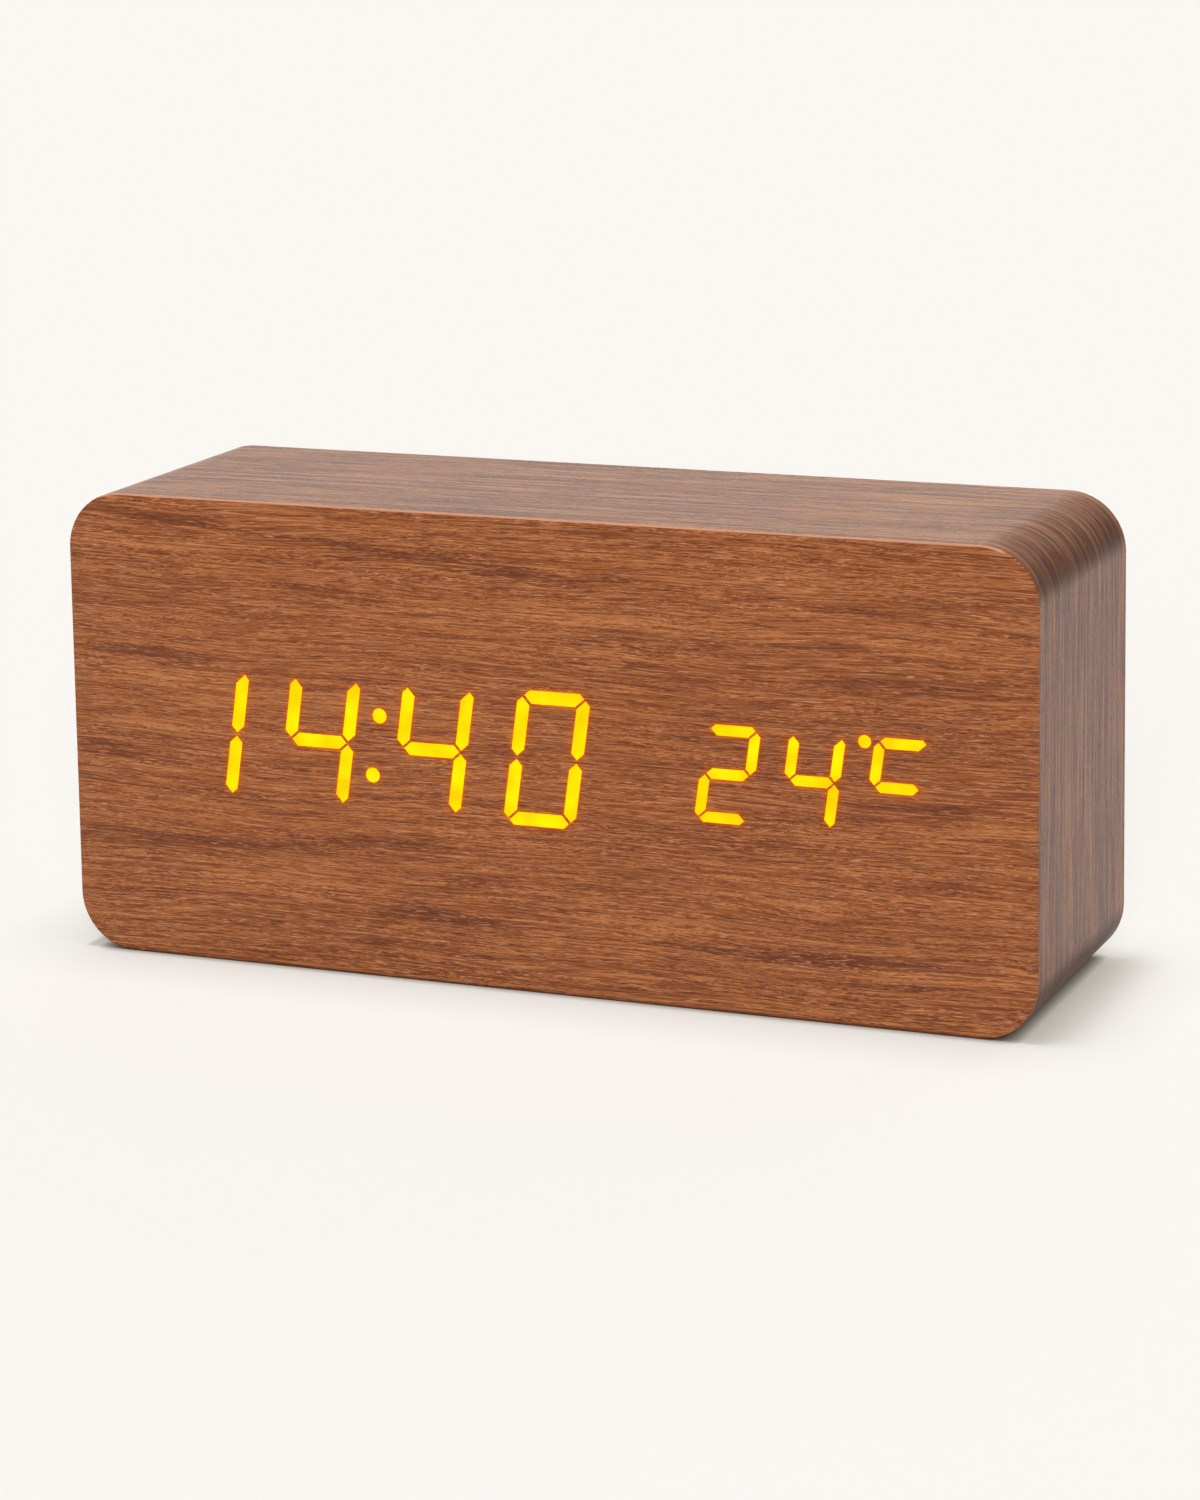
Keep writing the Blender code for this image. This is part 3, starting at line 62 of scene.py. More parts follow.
# Block, from the solids
LOW, HIGH = (Vector(corner) for corner in CAD_BOX)
FRONT_Y, SHEET_BACK_Y = (corner.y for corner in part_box("front_veneer"))
WRAP_FRONT_Y, WRAP_BACK_Y = (corner.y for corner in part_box("side_veneer"))
BACK_SHEET_Y, BACK_Y = (corner.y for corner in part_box("back_veneer"))
CORNER_RADIUS = 0.0086
WRAP_THICKNESS = 0.0005

# Edges of the veneer sheets, and the steps their outlines are drawn in
SHEET_EASE = 0.00028
WRAP_EASE = 0.00012
EASE_STEPS = 5
EASE_TURNS = [math.pi / 2 * step / EASE_STEPS for step in range(EASE_STEPS + 1)]
CORNER_STEPS = 20
STRAIGHT_STEP = 0.003
SHARP_ANGLE = math.radians(32)

# How close two places are the same, in metres and in decimals
SAME_PLANE = 1e-6
SAME_PLACE = 1e-7
PLACE_DECIMALS = 6

# The veneer's thin lip over the rim of each bar, and the light that spills into the wood there
LIP_REACH = 0.00007
LIP_DEPTH = 0.00004
GLOW_RINGS = (0.00008, 0.0002, 0.0004, 0.0008, 0.0014)
GLOW_SPACING = 0.0006
GLOW_REACHES = (0.00010, 0.00050)
GLOW_SHARES = (0.75, 0.25)

# Camera: the photograph's view of the block
CAMERA_AZIMUTH = math.radians(22.31)
CAMERA_ELEVATION = math.radians(9.60)
CAMERA_ROLL = math.radians(-0.85)
CAMERA_DISTANCE = 0.603
CAMERA_TARGET = (0.0108, FRONT_Y, 0.0804)
CAMERA_LENS = 102.67
CAMERA_SENSOR = 36
CAMERA_SHIFT = -0.2
CAMERA_CLIP = (0.01, 50)

# Floor, and the painted contact shadow that darkens it where the block touches it
BACKGROUND = (0.956, 0.930, 0.888)
FLOOR_SIZE = 12.0
FLOOR_ALBEDO = 0.44
FLOOR_ROUGHNESS = 0.95
FLOOR_LIFT = (0.515, 0.483, 0.436)
FLOOR_MIRRORED = 0.53
CONTACT_REACHES = (0.002, 0.018)
CONTACT_POWERS = (1.2, 0.40)
CONTACT_SAMPLES = 16
CONTACT_SHADOW_COLOR = (0.160, 0.105, 0.070)

# World: its strength as a light, and how reflections see it fade upward, in front and at the right
SKY_LIGHT = 0.10
SKY_FADE = (0.22, 0.42)
SKY_MIRRORED = 0.05
FRONT_FADE = (-0.2, 0.4)
FRONT_MIRRORED = 0.45
RIGHT_FADE = (0.0, 0.30)
RIGHT_MIRRORED = 0.15

# Suns: name, where the light comes from, strength, width in degrees, colour
SUNS = (
    ("front_key", (0.32, -0.88, 0.34), 2.50, 26, (1, 1, 1)),
    ("overhead", (-0.055, -0.025, 0.97), 1.90, 8, (0.92, 1.00, 1.12)),
    ("back_fill", (0.00, 0.90, 0.42), 0.65, 60, (1, 1, 1)),
)


# Nodes and materials


def set_socket(tree, socket, value):
    """Links an output to a socket, or gives it a value. A colour comes as three numbers."""
    if isinstance(value, bpy.types.NodeSocket):
        tree.links.new(value, socket)
    elif socket.type == "RGBA":
        socket.default_value = (*value, 1)
    else:
        socket.default_value = value


def add(tree, kind, sockets=None, **settings):
    """A shader node, with each socket given a value or linked to an output."""
    made = tree.nodes.new("ShaderNode" + kind)
    for key, value in settings.items():
        setattr(made, key, value)
    for key, value in (sockets or {}).items():
        set_socket(tree, made.inputs[key], value)
    return made


def math_node(tree, operation, first, second=0.0, clamp=False):
    made = add(tree, "Math", {0: first, 1: second}, operation=operation, use_clamp=clamp)
    return made.outputs[0]


def remap(tree, value, low, high, to_low=0.0, to_high=1.0, smooth=False):
    kind = "SMOOTHSTEP" if smooth else "LINEAR"
    sockets = {"Value": value, "From Min": low, "From Max": high}
    sockets |= {"To Min": to_low, "To Max": to_high}
    return add(tree, "MapRange", sockets, interpolation_type=kind, clamp=True).outputs["Result"]


def blend_color(tree, amount, first, second, kind="MIX"):
    """Mixes two colours; each is an output or three numbers."""
    sockets = {0: amount, 6: first, 7: second}
    return add(tree, "Mix", sockets, data_type="RGBA", blend_type=kind).outputs[2]


def ramp(tree, value, stops, kind="LINEAR"):
    """A colour ramp over (place, colour) stops."""
    made = add(tree, "ValToRGB", {0: value})
    made.color_ramp.interpolation = kind
    elements = made.color_ramp.elements
    while len(elements) < len(stops):
        elements.new(0.5)
    for element, (place, color) in zip(elements, stops):
        element.position = place
        element.color = (*color, 1)
    return made.outputs[0]


def noise(tree, place, scale, detail=2.0, distortion=0.0):
    """Noise with scale cells to a metre, the same every way."""
    sockets = {"Vector": place, "Scale": scale, "Detail": detail, "Distortion": distortion}
    return add(tree, "TexNoise", sockets).outputs[0]


def stretched_noise(tree, place, along, across, seed, detail=2.0, roughness=0.5):
    """Noise whose cells are along by across metres in the (x, y) plane of place."""
    size = {"Vector": place, "Location": (seed, seed / 2, 0), "Scale": (1 / along, 1 / across, 1)}
    mapped = add(tree, "Mapping", size).outputs[0]
    sockets = {"Vector": mapped, "Scale": 1.0, "Detail": detail, "Roughness": roughness}
    return add(tree, "TexNoise", sockets, noise_dimensions="2D").outputs[0]


def object_place(tree):
    return add(tree, "TexCoord").outputs["Object"]


def axes(tree, place):
    return add(tree, "SeparateXYZ", {0: place}).outputs


def face_place(tree):
    """Along X and up Z, for the flat sheets and boards."""
    parts = axes(tree, object_place(tree))
    return add(tree, "CombineXYZ", {"X": parts[0], "Y": parts[2]}).outputs[0]


def wrap_place(tree):
    """Along the perimeter and across the depth, kept in the UV map."""
    return add(tree, "UVMap", uv_map="grain").outputs[0]


def attribute(tree, name):
    return add(tree, "Attribute", attribute_name=name).outputs["Fac"]


def relief(tree, strength, distance, height):
    """Fine relief, for a shader's normal."""
    sockets = {"Strength": strength, "Distance": distance, "Height": height}
    return add(tree, "Bump", sockets).outputs[0]


def dress(tree, shader, **sockets):
    """Gives the shader's sockets, named as in base_color, values or outputs."""
    for key, value in sockets.items():
        words = key.replace("_", " ").title().replace("Ior", "IOR")
        set_socket(tree, shader.inputs[words], value)


def material(name, **sockets):
    """A Principled material with the values that are the same all over it."""
    made = bpy.data.materials.new(name)
    made.use_nodes = True
    tree = made.node_tree
    shader = tree.nodes["Principled BSDF"]
    dress(tree, shader, **sockets)
    return made, tree, shader


# Wood

DARK_WOOD = (0.138, 0.031, 0.008)
MID_WOOD = (0.290, 0.078, 0.017)
LIGHT_WOOD = (0.505, 0.182, 0.058)
FLECK = (0.610, 0.275, 0.140)
PORE_AND_CONTACT_SHADE = (0.060, 0.014, 0.004)
WOOD_IOR = 1.43
WOOD_ROUGHNESS = (0.31, 0.24)
WOOD_RELIEF = (0.35, 0.00006)

# Waves of the fibres: length, thickness and how far they move across the grain
WAVES = ((0.060, 0.014, 0.0018), (0.0100, 0.0030, 0.00012), (0.0024, 0.0008, 0.00004))
# How far the ends of neighbouring fibres are staggered along the grain
STAGGER = (0.040, 0.0009, 0.012)

# Layers of tone: length and thickness of a streak, how much it lightens or darkens
TONE_LAYERS = (
    (0.1000, 0.00480, 0.09),
    (0.0600, 0.00130, 0.15),
    (0.0240, 0.00050, 0.20),
    (0.0080, 0.00026, 0.42),
    (0.0008, 0.00019, 0.48),
)
CALM_LAYERS = (
    (0.1200, 0.00480, 0.16),
    (0.0600, 0.00160, 0.40),
    (0.0300, 0.00080, 0.62),
    (0.0120, 0.00034, 0.60),
    (0.0012, 0.00024, 0.20),
)
# Tone before the layers, where in its noise a layer is darkest and palest, and how rough it is
MIDDLE_TONE = 0.50
LAYER_RANGE = (0.25, 0.75)
LAYER_ROUGHNESS = 0.55
# Where in the finest layer the gloss is least and most
FIBRE_RANGE = (0.3, 0.7)

# Short dashes along the grain: length, thickness, where in the noise they begin and are full,
# and how strong they are. Flecks are fewer in some patches, down to a share of them.
FLECK_DASHES = (0.0020, 0.00019, 0.59, 0.75, 0.84)
PORE_DASHES = (0.0026, 0.00020, 0.62, 0.78, 0.60)
FLECK_PATCHES = (0.030, 0.003)
PATCH_RANGE = (0.30, 0.70)
PATCH_SHARE = 0.40

# What each kind of noise adds to a sheet's own seed
LAYER_SEED = 3
PATCH_SEED = 8
FLECK_SEED = 9
PORE_SEED = 10
STAGGER_SEED = 20

# Streaks of the front: middle across and up, half length, half thickness, slope, strength.
# The first four are shares of the block's width or height. Below 0 a streak is pale.
FRONT_STREAKS = (
    (-0.380, 0.953, 0.120, 0.018, -0.03, 0.42),
    (-0.220, 0.914, 0.120, 0.016, -0.08, 0.34),
    (-0.040, 0.886, 0.216, 0.023, -0.05, 0.51),
    (0.360, 0.840, 0.184, 0.019, -0.07, 0.42),
    (0.393, 0.706, 0.152, 0.028, 0.00, 0.42),
    (-0.400, 0.660, 0.144, 0.018, 0.01, 0.38),
    (-0.440, 0.436, 0.104, 0.031, 0.00, 0.42),
    (-0.347, 0.376, 0.088, 0.014, 0.00, 0.30),
    (0.400, 0.457, 0.144, 0.023, 0.14, 0.42),
    (-0.367, 0.254, 0.208, 0.023, 0.06, 0.51),
    (-0.153, 0.297, 0.128, 0.018, 0.02, 0.30),
    (0.287, 0.133, 0.232, 0.020, 0.02, 0.55),
    (0.387, 0.094, 0.136, 0.016, 0.00, 0.34),
    (-0.107, 0.140, 0.120, 0.020, 0.02, 0.38),
    (-0.187, 0.074, 0.144, 0.019, -0.01, 0.38),
    (-0.087, 0.221, 0.096, 0.031, 0.00, 0.21),
    (-0.407, 0.617, 0.152, 0.039, 0.00, -0.30),
    (-0.413, 0.500, 0.128, 0.031, 0.00, -0.21),
    (0.007, 0.800, 0.184, 0.050, -0.02, -0.24),
    (0.463, 0.417, 0.072, 0.018, 0.10, -0.34),
    (-0.287, 0.174, 0.176, 0.042, 0.02, -0.24),
    (0.140, 0.164, 0.128, 0.031, 0.00, -0.19),
    (0.247, 0.914, 0.128, 0.035, -0.03, -0.19),
    (0.420, 0.771, 0.104, 0.023, 0.00, -0.21),
)
# The layer of tone that frays the streaks, and how strong they are in its dark and pale parts
FRAYING_LAYER = 1
FRAYING_RANGE = (0.30, 0.70)
FRAYED = (1.25, 0.65)

# The front's edges: a painted highlight along the top rim, and painted contact shade as a dark
# line along the bottom
PAINTED_HIGHLIGHT_BAND = 0.0008
PAINTED_HIGHLIGHT_COLOR = (0.66, 0.33, 0.20)
PAINTED_HIGHLIGHT_SHARE = 0.75
PAINTED_SHADE_HEIGHT = 0.0007

# Wood by a lit bar: light of its own, and a tint that is full at a share of the glow
GLOW_STRENGTH = 0.55
GLOW_COLOR = (1.0, 0.06, 0.0)
GLOW_TINT = (1.0, 0.90, 0.0)
FULL_TINT = 0.33

# Wrapped veneer: its tone where it is flat, painted shade where it is bent, and how soon a bend is
# full
FLAT_TONE = (0.96, 0.98, 0.95)
PAINTED_CORNER_SHADE = (0.26, 0.24, 0.22)
BENT_ROUGHNESS = 0.20
BEND_ONSET = 0.18


def streaks(tree, place, shares):
    """Soft spindles laid along the grain, added up."""
    total = 0.0
    width, height = HIGH.x - LOW.x, HIGH.z
    for across, up, length, thickness, slope, strength in shares:
        sockets = {
            "Vector": place,
            "Location": (across * width, up * height, 0),
            "Rotation": (0, 0, math.atan(slope)),
            "Scale": (length * width, thickness * height, 1),
        }
        local = add(tree, "Mapping", sockets, vector_type="TEXTURE").outputs[0]
        reach = add(tree, "VectorMath", {0: local}, operation="LENGTH").outputs["Value"]
        spindle = remap(tree, reach, 1.0, 0.0, 0.0, strength, smooth=True)
        total = math_node(tree, "ADD", spindle, total)
    return total


def shifted(tree, place, size, reach, seed):
    """How far each place is moved, up to reach one way or the other."""
    waves = stretched_noise(tree, place, *size, seed, 1.0)
    return remap(tree, waves, 0.0, 1.0, -reach, reach)


def wander(tree, place, seed):
    """Moves the place, so that the fibres wave and ripple and end at different places."""
    total = 0.0
    for number, (*size, reach) in enumerate(WAVES):
        total = math_node(tree, "ADD", shifted(tree, place, size, reach, seed + number), total)
    *size, reach = STAGGER
    slide = shifted(tree, place, size, reach, seed + STAGGER_SEED)
    offset = add(tree, "CombineXYZ", {"X": slide, "Y": total}).outputs[0]
    return add(tree, "VectorMath", {0: place, 1: offset}, operation="ADD").outputs[0]


def dashes(tree, grain, look, seed):
    """Short marks along the grain, from 0 to their full strength."""
    along, across, begin, full, strength = look
    marks = stretched_noise(tree, grain, along, across, seed, 1.0)
    return remap(tree, marks, begin, full, 0.0, strength)


def wood(name, place_of, seed, layers=TONE_LAYERS, shares=(), extra=None):
    """Walnut veneer. place_of gives the (along, across) place in metres as an output."""
    made, tree, shader = material(name, ior=WOOD_IOR)
    place = place_of(tree)
    grain = wander(tree, place, seed)
    tone = MIDDLE_TONE
    for number, (along, across, reach) in enumerate(layers):
        layer_seed = seed + LAYER_SEED + number
        fibres = stretched_noise(tree, grain, along, across, layer_seed, 2.0, LAYER_ROUGHNESS)
        tone = math_node(tree, "ADD", remap(tree, fibres, *LAYER_RANGE, -reach, reach), tone)
        if shares and number == FRAYING_LAYER:
            frayed = remap(tree, fibres, *FRAYING_RANGE, *FRAYED)
    if shares:
        marks = math_node(tree, "MULTIPLY", streaks(tree, grain, shares), frayed)
        tone = math_node(tree, "SUBTRACT", tone, marks)
    color = ramp(tree, tone, ((0.0, DARK_WOOD), (0.5, MID_WOOD), (1.0, LIGHT_WOOD)))
    patch = stretched_noise(tree, place, *FLECK_PATCHES, seed + PATCH_SEED, 1.0)
    often = remap(tree, patch, *PATCH_RANGE, PATCH_SHARE, 1.0)
    flecks = dashes(tree, grain, FLECK_DASHES, seed + FLECK_SEED)
    color = blend_color(tree, math_node(tree, "MULTIPLY", flecks, often), color, FLECK)
    pores = dashes(tree, grain, PORE_DASHES, seed + PORE_SEED)
    color = blend_color(tree, pores, color, PORE_AND_CONTACT_SHADE)
    rough = remap(tree, fibres, *FIBRE_RANGE, *WOOD_ROUGHNESS)
    if extra:
        color, rougher = extra(tree, shader, color)
        rough = math_node(tree, "ADD", rough, rougher)
    bumps = relief(tree, *WOOD_RELIEF, math_node(tree, "SUBTRACT", fibres, pores))
    dress(tree, shader, base_color=color, roughness=rough, normal=bumps)
    return made


def lit_wood(tree, shader, color):
    """The wood next to a lit bar glows orange; a painted highlight makes the top rim paler, and
    painted contact shade darkens the bottom edge.
    """
    glow = attribute(tree, "glow")
    strength = remap(tree, glow, 0.0, 1.0, 0.0, GLOW_STRENGTH)
    dress(tree, shader, emission_color=GLOW_COLOR, emission_strength=strength)
    color = blend_color(tree, remap(tree, glow, 0.0, FULL_TINT), color, GLOW_TINT, "MULTIPLY")
    # Painted highlight: rim points near the top blend towards a paler colour
    pale = blend_color(tree, PAINTED_HIGHLIGHT_SHARE, color, PAINTED_HIGHLIGHT_COLOR)
    painted_rim_highlight = blend_color(tree, attribute(tree, "rim"), color, pale)
    height = axes(tree, object_place(tree))[2]
    # Painted contact shade: a dark line in the pore colour along the bottom, where the block meets
    # the floor
    painted_contact_shade = remap(tree, height, 0.0, PAINTED_SHADE_HEIGHT, 1.0, 0.0)
    return blend_color(tree, painted_contact_shade, painted_rim_highlight, PORE_AND_CONTACT_SHADE), 0.0


def bent_wood(tree, shader, color):
    """Painted shade: the veneer is darker where it bends round a corner, and rougher there."""
    bend = attribute(tree, "bend")
    flat = blend_color(tree, 1.0, color, FLAT_TONE, "MULTIPLY")
    # Painted shade: the bent parts of the veneer are darker
    bent = blend_color(tree, 1.0, color, PAINTED_CORNER_SHADE, "MULTIPLY")
    rougher = remap(tree, bend, 0.0, 1.0, 0.0, BENT_ROUGHNESS)
    return blend_color(tree, bend, flat, bent), rougher


# Shapes


def new_object(name, shape, surface):
    mesh = bpy.data.meshes.new(name)
    shape.to_mesh(mesh)
    shape.free()
    made = bpy.data.objects.new(name, mesh)
    bpy.context.scene.collection.objects.link(made)
    mesh.materials.append(surface)
    mesh.shade_smooth()
    mesh.set_sharp_from_angle(angle=SHARP_ANGLE)
    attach(made, "case")
    return made


def around(loop):
    """Each point of a closed outline with the one after it."""
    return zip(loop, loop[1:] + loop[:1])


def block_outline(inset):
    """(x, z) points round the block, drawn in by inset, from the bottom's middle to the right."""
    x0, z0, x1, z1 = LOW.x + inset, inset, HIGH.x - inset, HIGH.z - inset
    radius = CORNER_RADIUS - inset
    corners = ((x1 - radius, z0 + radius), (x1 - radius, z1 - radius))
    corners += ((x0 + radius, z1 - radius), (x0 + radius, z0 + radius))
    points = [((x0 + x1) / 2, z0)]
    for number, (x, z) in enumerate(corners):
        for step in range(CORNER_STEPS + 1):
            turn = math.pi / 2 * (number - 1 + step / CORNER_STEPS)
            points.append((x + radius * math.cos(turn), z + radius * math.sin(turn)))
    full = []
    for point, after in around(points):
        count = max(1, round(math.dist(point, after) / STRAIGHT_STEP))
        for part in range(count):
            share = part / count
            full.append(tuple(a + (b - a) * share for a, b in zip(point, after)))
    return full


def drawn_in(point, inset):
    """A point of the block's outline moved inward along its normal."""
    x, z = point
    centre_x = min(max(x, LOW.x + CORNER_RADIUS), HIGH.x - CORNER_RADIUS)
    centre_z = min(max(z, CORNER_RADIUS), HIGH.z - CORNER_RADIUS)
    outward = Vector((x - centre_x, z - centre_z))
    length = outward.length
    return (x - outward.x / length * inset, z - outward.y / length * inset)


def face_loops(node, y):
    """The closed outlines of a solid's flat face at that y, widest first."""
    mesh = NODES[node].data
    used = {}
    for polygon in mesh.polygons:
        places = [mesh.vertices[index].co for index in polygon.vertices]
        if all(abs(place.y - y) < SAME_PLANE for place in places):
            keys = [(round(p.x, PLACE_DECIMALS), round(p.z, PLACE_DECIMALS)) for p in places]
            used |= dict.fromkeys(around(keys))
    rim = {start: end for start, end in used if (end, start) not in used}
    loops = []
    while rim:
        start, point = rim.popitem()
        loop = [start]
        while point != start:
            loop.append(point)
            point = rim.pop(point)
        loops.append(loop)
    return sorted(loops, key=lambda loop: -max(p[0] for p in loop) + min(p[0] for p in loop))


def inside(point, loop):
    x, z = point
    found = False
    for (x0, z0), (x1, z1) in around(loop):
        if (z0 > z) != (z1 > z) and x < (x1 - x0) * (z - z0) / (z1 - z0) + x0:
            found = not found
    return found


def turning(loop):
    """1 for an outline that runs anticlockwise in (x, z), and -1 for the other way."""
    area = sum(x0 * z1 - x1 * z0 for (x0, z0), (x1, z1) in around(loop))
    return 1 if area > 0 else -1


def rings_round(loop):
    """Points round a convex outline, at the distances of GLOW_RINGS."""
    points = []
    turn = turning(loop)
    for start, end in around(loop):
        start, end = Vector(start), Vector(end)
        along = (end - start).normalized()
        outward = turn * Vector((along.y, -along.x))
        count = max(1, round((end - start).length / GLOW_SPACING))
        for reach in GLOW_RINGS:
            for part in range(count + 1):
                point = start + (end - start) * part / count + outward * reach
                points.append(tuple(point))
    return points


def narrowed(loop, reach):
    """A convex outline drawn in by a set distance."""
    points = []
    turn = turning(loop)
    for before, (point, after) in zip(loop[-1:] + loop[:-1], around(loop)):
        before, point, after = Vector(before), Vector(point), Vector(after)
        first, second = (point - before).normalized(), (after - point).normalized()
        inward = [turn * Vector((-along.y, along.x)) for along in (first, second)]
        mitre = sum(inward, Vector((0, 0))) * reach / (1 + inward[0].dot(inward[1]))
        points.append(tuple(point + mitre))
    return points


def nearest(points, loops):
    """The distance of each point from the nearest outline."""
    places = np.array(points)
    found = np.full(len(places), np.inf)
    for loop in loops:
        for start, end in around(loop):
            start, end = np.array(start), np.array(end)
            run = end - start
            share = np.clip((places - start) @ run / (run @ run), 0, 1)
            gap = np.linalg.norm(places - start - share[:, None] * run, axis=1)
            found = np.minimum(found, gap)
    return found


def filled(outer, holes, samples):
    """The area between an outline and its holes, in triangles.

    Returns its points, its triangles, and which point each corner is. The corners are counted
    along the outline and then along each hole.
    """
    places = [Vector(point) for loop in (outer, *holes, samples) for point in loop]
    edges = []
    for loop in (outer, *holes):
        first = len(edges)
        edges += [(first + i, first + (i + 1) % len(loop)) for i in range(len(loop))]
    found = geometry.delaunay_2d_cdt(places, edges, [], 0, SAME_PLACE, True)
    flat, _, faces, origins, _, _ = found
    spot = {old: new for new, olds in enumerate(origins) for old in olds}
    spans = [[(min(axis), max(axis)) for axis in zip(*hole)] for hole in holes]
    kept = []
    for corners in faces:
        middle = sum((flat[i] for i in corners), Vector((0, 0))) / len(corners)
        near = (
            hole
            for hole, ((x0, x1), (z0, z1)) in zip(holes, spans)
            if x0 <= middle.x <= x1 and z0 <= middle.y <= z1
        )
        if not any(inside(middle, hole) for hole in near):
            kept.append(corners)
    return flat, kept, spot


def band(shape, row, after):
    """The faces between two closed rows of points."""
    made = []
    for i in range(len(row)):
        j = (i + 1) % len(row)
        made.append(shape.faces.new((row[i], row[j], after[j], after[i])))
    return made


def sheet(name, face, back, windows, surface, samples=(), glow_of=None, lips=None):
    """A flat sheet in the block's outline, with windows and a rounded rim on its face side.

    With lips, a window's outline in the face is narrower than the window behind it.
    """
    inward = 1 if back > face else -1
    rings = [block_outline(SHEET_EASE * (1 - math.sin(turn))) for turn in EASE_TURNS]
    depths = [face + inward * SHEET_EASE * (1 - math.cos(turn)) for turn in EASE_TURNS]
    rings.append(rings[-1])
    depths.append(back)
    count = len(rings[0])
    flat, kept, spot = filled(rings[0], lips or windows, samples)
    used = sorted({index for corners in kept for index in corners})
    wide = {i: flat[i] for i in used}
    for index, point in enumerate(point for window in windows for point in window):
        wide[spot[count + index]] = Vector(point)

    shape = bmesh.new()
    glow = shape.verts.layers.float.new("glow")
    rim = shape.verts.layers.float.new("rim")
    fronts = {i: shape.verts.new((flat[i].x, face, flat[i].y)) for i in used}
    rows = [[fronts[spot[index]] for index in range(count)]]
    for ring, depth in zip(rings[1:], depths[1:]):
        rows.append([shape.verts.new((x, depth, z)) for x, z in ring])
    last = {spot[index]: rows[-1][index] for index in range(count)}
    backs = {i: last.get(i) or shape.verts.new((wide[i].x, back, wide[i].y)) for i in used}
    for corners in kept:
        shape.faces.new([fronts[i] for i in corners])
        shape.faces.new([backs[i] for i in reversed(corners)])
    for row, after in zip(rows, rows[1:]):
        band(shape, row, after)

    first = count
    for window in windows:
        corners = [spot[first + i] for i in range(len(window))]
        walls = [[fronts[i] for i in corners], [backs[i] for i in corners]]
        if lips:
            y = face + inward * LIP_DEPTH
            for row, at in enumerate((flat, wide), 1):
                walls.insert(row, [shape.verts.new((at[i].x, y, at[i].y)) for i in corners])
        for wall, after in zip(walls, walls[1:]):
            band(shape, wall, after)
        first += len(window)

    # Painted highlight mask: only rim points in the band just below the top get 1
    for row in rows[1:]:
        for vertex in row:
            vertex[rim] = 1.0 if vertex.co.z > HIGH.z - PAINTED_HIGHLIGHT_BAND else 0.0
    if glow_of:
        shine = glow_of([tuple(flat[i]) for i in used])
        for index, value in zip(used, shine):
            fronts[index][glow] = value
    bmesh.ops.recalc_face_normals(shape, faces=shape.faces)
    return new_object(name, shape, surface)


def bend_at(place):
    """How strongly a corner gets painted shade and extra roughness: most on the side's part of a
    corner, easing to the top.
    """
    across = abs(place.x) - (HIGH.x - CORNER_RADIUS)
    up = abs(place.z - HIGH.z / 2) - (HIGH.z / 2 - CORNER_RADIUS)
    if across <= 0 or up <= 0:
        return 0.0
    turned = math.atan2(up, across) / (math.pi / 2)
    return min(1.0, turned / BEND_ONSET) * (1 - turned)


def wrap(name, surface):
    """The veneer round the sides, with its place along the grain in the UV map."""
    profile = [
        (WRAP_THICKNESS, WRAP_FRONT_Y),
        (WRAP_EASE, WRAP_FRONT_Y),
        (0, WRAP_FRONT_Y + WRAP_EASE),
        (0, WRAP_BACK_Y - WRAP_EASE),
        (WRAP_EASE, WRAP_BACK_Y),
        (WRAP_THICKNESS, WRAP_BACK_Y),
    ]
    outer = block_outline(0)
    runs = [0.0]
    for point, after in around(outer):
        runs.append(runs[-1] + math.dist(point, after))
    shape = bmesh.new()
    grain = shape.loops.layers.uv.new("grain")
    bend = shape.verts.layers.float.new("bend")
    rows = []
    for inset, y in profile:
        ring = [drawn_in(point, inset) for point in outer]
        rows.append([shape.verts.new((x, y, z)) for x, z in ring])
    for row, after in around(rows):
        for made, start, end in zip(band(shape, row, after), runs, runs[1:]):
            for corner, run in zip(made.loops, (start, end, end, start)):
                corner[grain].uv = (run, corner.vert.co.y)
    bmesh.ops.recalc_face_normals(shape, faces=shape.faces)
    for vertex in shape.verts:
        vertex[bend] = bend_at(vertex.co)
    return new_object(name, shape, surface)


# Front, sides and back

WINDOWS = face_loops("front_veneer", FRONT_Y)[1:]
LIPS = [narrowed(loop, LIP_REACH) for loop in WINDOWS]
GLOW_POINTS = [point for loop in WINDOWS for point in rings_round(loop)]


def glow_at(points):
    gaps = nearest(points, LIPS)
    return sum(share * np.exp(-gaps / reach) for share, reach in zip(GLOW_SHARES, GLOW_REACHES))


front_wood = wood("front_veneer_wood", face_place, 3.0, TONE_LAYERS, FRONT_STREAKS, lit_wood)
front = sheet(
    "front_face", FRONT_Y, SHEET_BACK_Y, WINDOWS, front_wood, GLOW_POINTS, glow_at, LIPS
)
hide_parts("front_veneer")

wrap_wood = wood("wrap_veneer_wood", wrap_place, 11.0, CALM_LAYERS, (), bent_wood)
side = wrap("wrap_veneer", wrap_wood)
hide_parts("side_veneer")

back_wood = wood("back_veneer_wood", face_place, 23.0)
back = sheet("back_face", BACK_Y, BACK_SHEET_Y, face_loops("back_veneer", BACK_Y)[1:], back_wood)
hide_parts("back_veneer")


# Plastic, rubber and resin

# Where in the noise a surface is at its darkest and palest
TONE_RANGE = (0.35, 0.65)
MARK_RANGE = (0.3, 0.7)

MOULD_SLOW_SCALE = 60.0
MOULD_RELIEF = 0.6
MOULD_GLOSS_SPREAD = 0.06


